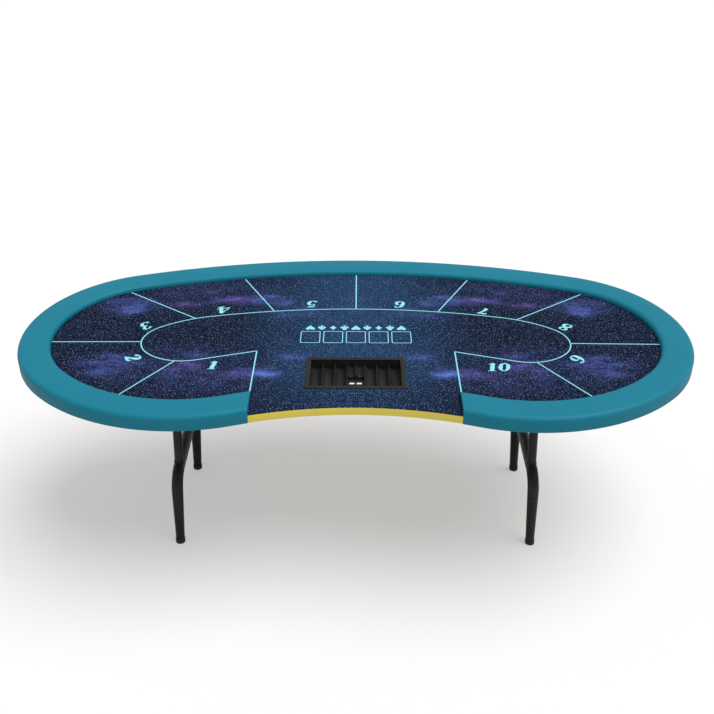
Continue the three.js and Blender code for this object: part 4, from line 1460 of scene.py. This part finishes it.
class BuildRail(bpy.types.Operator):
    """Builds the padded rail cover, its end panels and its staples"""

    bl_idname = "poker_table.build_rail"
    bl_label = "Padded rail"

    def execute(self, context):
        settings = context.scene.table_rail
        vinyl = vinyl_finish()
        cover = add_piece(rail_cover(settings), "rail_cover", vinyl, "table", ["rail_pad"], "rail_vinyl")
        for name, side in SIDES.items():
            panel = rail_end_panel(settings, side)
            add_piece(panel, f"rail_end_panel_{name}", vinyl, "table", (), "rail_vinyl")
        add_piece(staples(settings), "hem_staples", steel_finish(), "table", (), "zinc_steel")
        return {"FINISHED"}


class BuildCloth(bpy.types.Operator):
    """Builds the playing cloth and everything printed on it"""

    bl_idname = "poker_table.build_cloth"
    bl_label = "Playing cloth"

    def execute(self, context):
        settings = context.scene.table_print
        blank, area = cloth_blank()
        cloth = add_piece(blank, "printed_cloth", cloth_finish(), "table", ["playing_cloth"], "cloth")
        prints = {
            "printed_lines": printed_lines(settings.line),
            "printed_card_boxes": card_boxes(settings.box_line),
            "printed_suits": pip_row(),
            "printed_seat_numbers": seat_numbers(settings.digit),
        }
        pieces = [add_piece(bm, name, ink_finish(), "table", (), "cloth") for name, bm in prints.items()]
        return {"FINISHED"}


class BuildBand(bpy.types.Operator):
    """Builds the band on the board's edge at the dealer's place"""

    bl_idname = "poker_table.build_band"
    bl_label = "Edge band"

    def execute(self, context):
        band = edge_band(context.scene.table_band)
        add_piece(band, "dealer_band", band_finish(), "table", ["dealer_edge_band"], "edge_band")
        return {"FINISHED"}


class BuildTray(bpy.types.Operator):
    """Builds the chip tray"""

    bl_idname = "poker_table.build_tray"
    bl_label = "Chip tray"

    def execute(self, context):
        tray = chip_tray(context.scene.table_tray)
        add_piece(tray, "moulded_tray", tray_finish(), "chip_tray", ["chip_tray"], "tray_plastic", 50)
        # The flange pads are painted shade: black fill that stands for the shadow in deep holes.
        add_piece(recess_shade_pads(), "flange_shade_pads", rubber_and_shade_finish(), "chip_tray", (), "foot_rubber")
        return {"FINISHED"}


class BuildLegs(bpy.types.Operator):
    """Builds the two leg frames"""

    bl_idname = "poker_table.build_legs"
    bl_label = "Leg frames"

    def execute(self, context):
        for name, side in SIDES.items():
            leg_frame(context.scene.table_legs, name, side)
        return {"FINISHED"}


class BuildHardware(bpy.types.Operator):
    """Builds the brackets, the folding braces and the fasteners"""

    bl_idname = "poker_table.build_hardware"
    bl_label = "Brackets, braces and screws"

    def execute(self, context):
        edge = context.scene.table_hardware.edge
        steel = steel_finish()
        for name in SIDES:
            plates = [(f"pivot_bracket_{end}_{name}", f"strap_{end}_{name}", "table") for end in ENDS]
            plates.append((f"brace_mount_{name}", f"brace_plate_{name}", "table"))
            plates.append((f"brace_long_link_{name}", f"long_link_{name}", f"brace_long_{name}"))
            plates.append((f"brace_short_link_{name}", f"short_link_{name}", f"brace_short_{name}"))
            for node, piece, body in plates:
                add_piece(refined_copy(node, edge), piece, steel, body, [node], "zinc_steel", 25)
            node = f"brace_elbow_pin_{name}"
            add_piece(elbow_rivet(node), f"rivet_{name}", steel, f"brace_short_{name}", [node], "zinc_steel")
        for kind, sizes in FASTENERS.items():
            for node in sorted(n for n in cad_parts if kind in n):
                bm = fastener(node, *sizes)
                add_piece(bm, f"head_of_{node}", steel, "table", [node], "zinc_steel")
        return {"FINISHED"}


CAMERA_PLACE = Vector((0.00625, -3.0527, 2.51796))
CAMERA_PITCH = math.radians(31.4147)
CAMERA_YAW = math.radians(0.0369)
CAMERA_ROLL = math.radians(0.2275)
SUN_ANGLE = math.radians(50)  # how wide the main light is, which sets how soft its shadow is
SUN_TURN = (math.radians(3), math.radians(22), 0)
FLOOR_HALF = 60
VIEW_END = 200


class BuildStage(bpy.types.Operator):
    """Sets up the floor, the lights and the camera"""

    bl_idname = "poker_table.build_stage"
    bl_label = "Stage"

    def execute(self, context):
        scene = context.scene
        settings = scene.table_stage
        bm = bmesh.new()
        bmesh.ops.create_grid(bm, x_segments=2, y_segments=2, size=FLOOR_HALF)
        mesh = bpy.data.meshes.new("floor")
        bm.to_mesh(mesh)
        bm.free()
        mesh.materials.append(floor_finish())
        floor = bpy.data.objects.new("floor", mesh)
        scene.collection.objects.link(floor)

        world = bpy.data.worlds.new("Even light")
        world.use_nodes = True
        sky = world.node_tree.nodes["Background"]
        sky.inputs["Color"].default_value = (1.0, 1.0, 1.0, 1.0)
        nodes = Nodes(world.node_tree)
        seen = nodes.add("ShaderNodeLightPath").outputs["Is Camera Ray"]
        strength = nodes.between(seen, settings.sky, 1.0)
        world.node_tree.links.new(strength, sky.inputs["Strength"])
        scene.world = world

        sun = bpy.data.lights.new("main_light", "SUN")
        sun.energy = settings.sun
        sun.angle = SUN_ANGLE
        lamp = bpy.data.objects.new("main_light", sun)
        lamp.rotation_euler = SUN_TURN
        scene.collection.objects.link(lamp)

        camera_data = bpy.data.cameras.new("camera")
        camera_data.lens = settings.lens
        camera_data.sensor_width = 36
        camera_data.clip_end = VIEW_END
        camera = bpy.data.objects.new("camera", camera_data)
        camera.matrix_world = (
            Matrix.Translation(CAMERA_PLACE) @ Matrix.Rotation(CAMERA_YAW, 4, "Z")
            @ Matrix.Rotation(math.pi / 2 - CAMERA_PITCH, 4, "X") @ Matrix.Rotation(CAMERA_ROLL, 4, "Z")
        )
        scene.collection.objects.link(camera)
        scene.camera = camera
        scene.view_settings.view_transform = "Standard"
        return {"FINISHED"}


OPERATORS = (
    BuildStage, BuildCore, BuildRail, BuildCloth, BuildBand, BuildTray, BuildLegs, BuildHardware,
)


class TablePanel(bpy.types.Panel):
    """Sidebar panel that lists the table's parts and their settings"""

    bl_idname = "VIEW3D_PT_poker_table"
    bl_label = "Poker Table"
    bl_space_type = "VIEW_3D"
    bl_region_type = "UI"
    bl_category = "Poker Table"

    def draw(self, context):
        for operator in OPERATORS:
            self.layout.operator(operator.bl_idname)
        for name, settings in SETTINGS.items():
            box = self.layout.box()
            for key in settings.__annotations__:
                box.prop(getattr(context.scene, name), key)


CLASSES = (*SETTINGS.values(), *OPERATORS, TablePanel)


def register():
    for each in CLASSES:
        bpy.utils.register_class(each)
    for name, settings in SETTINGS.items():
        setattr(bpy.types.Scene, name, PointerProperty(type=settings))


def unregister():
    for name in SETTINGS:
        delattr(bpy.types.Scene, name)
    for each in reversed(CLASSES):
        bpy.utils.unregister_class(each)


def main():
    register()
    for operator in OPERATORS:
        group, name = operator.bl_idname.split(".")
        getattr(getattr(bpy.ops, group), name)()


if __name__ == "__main__":
    main()
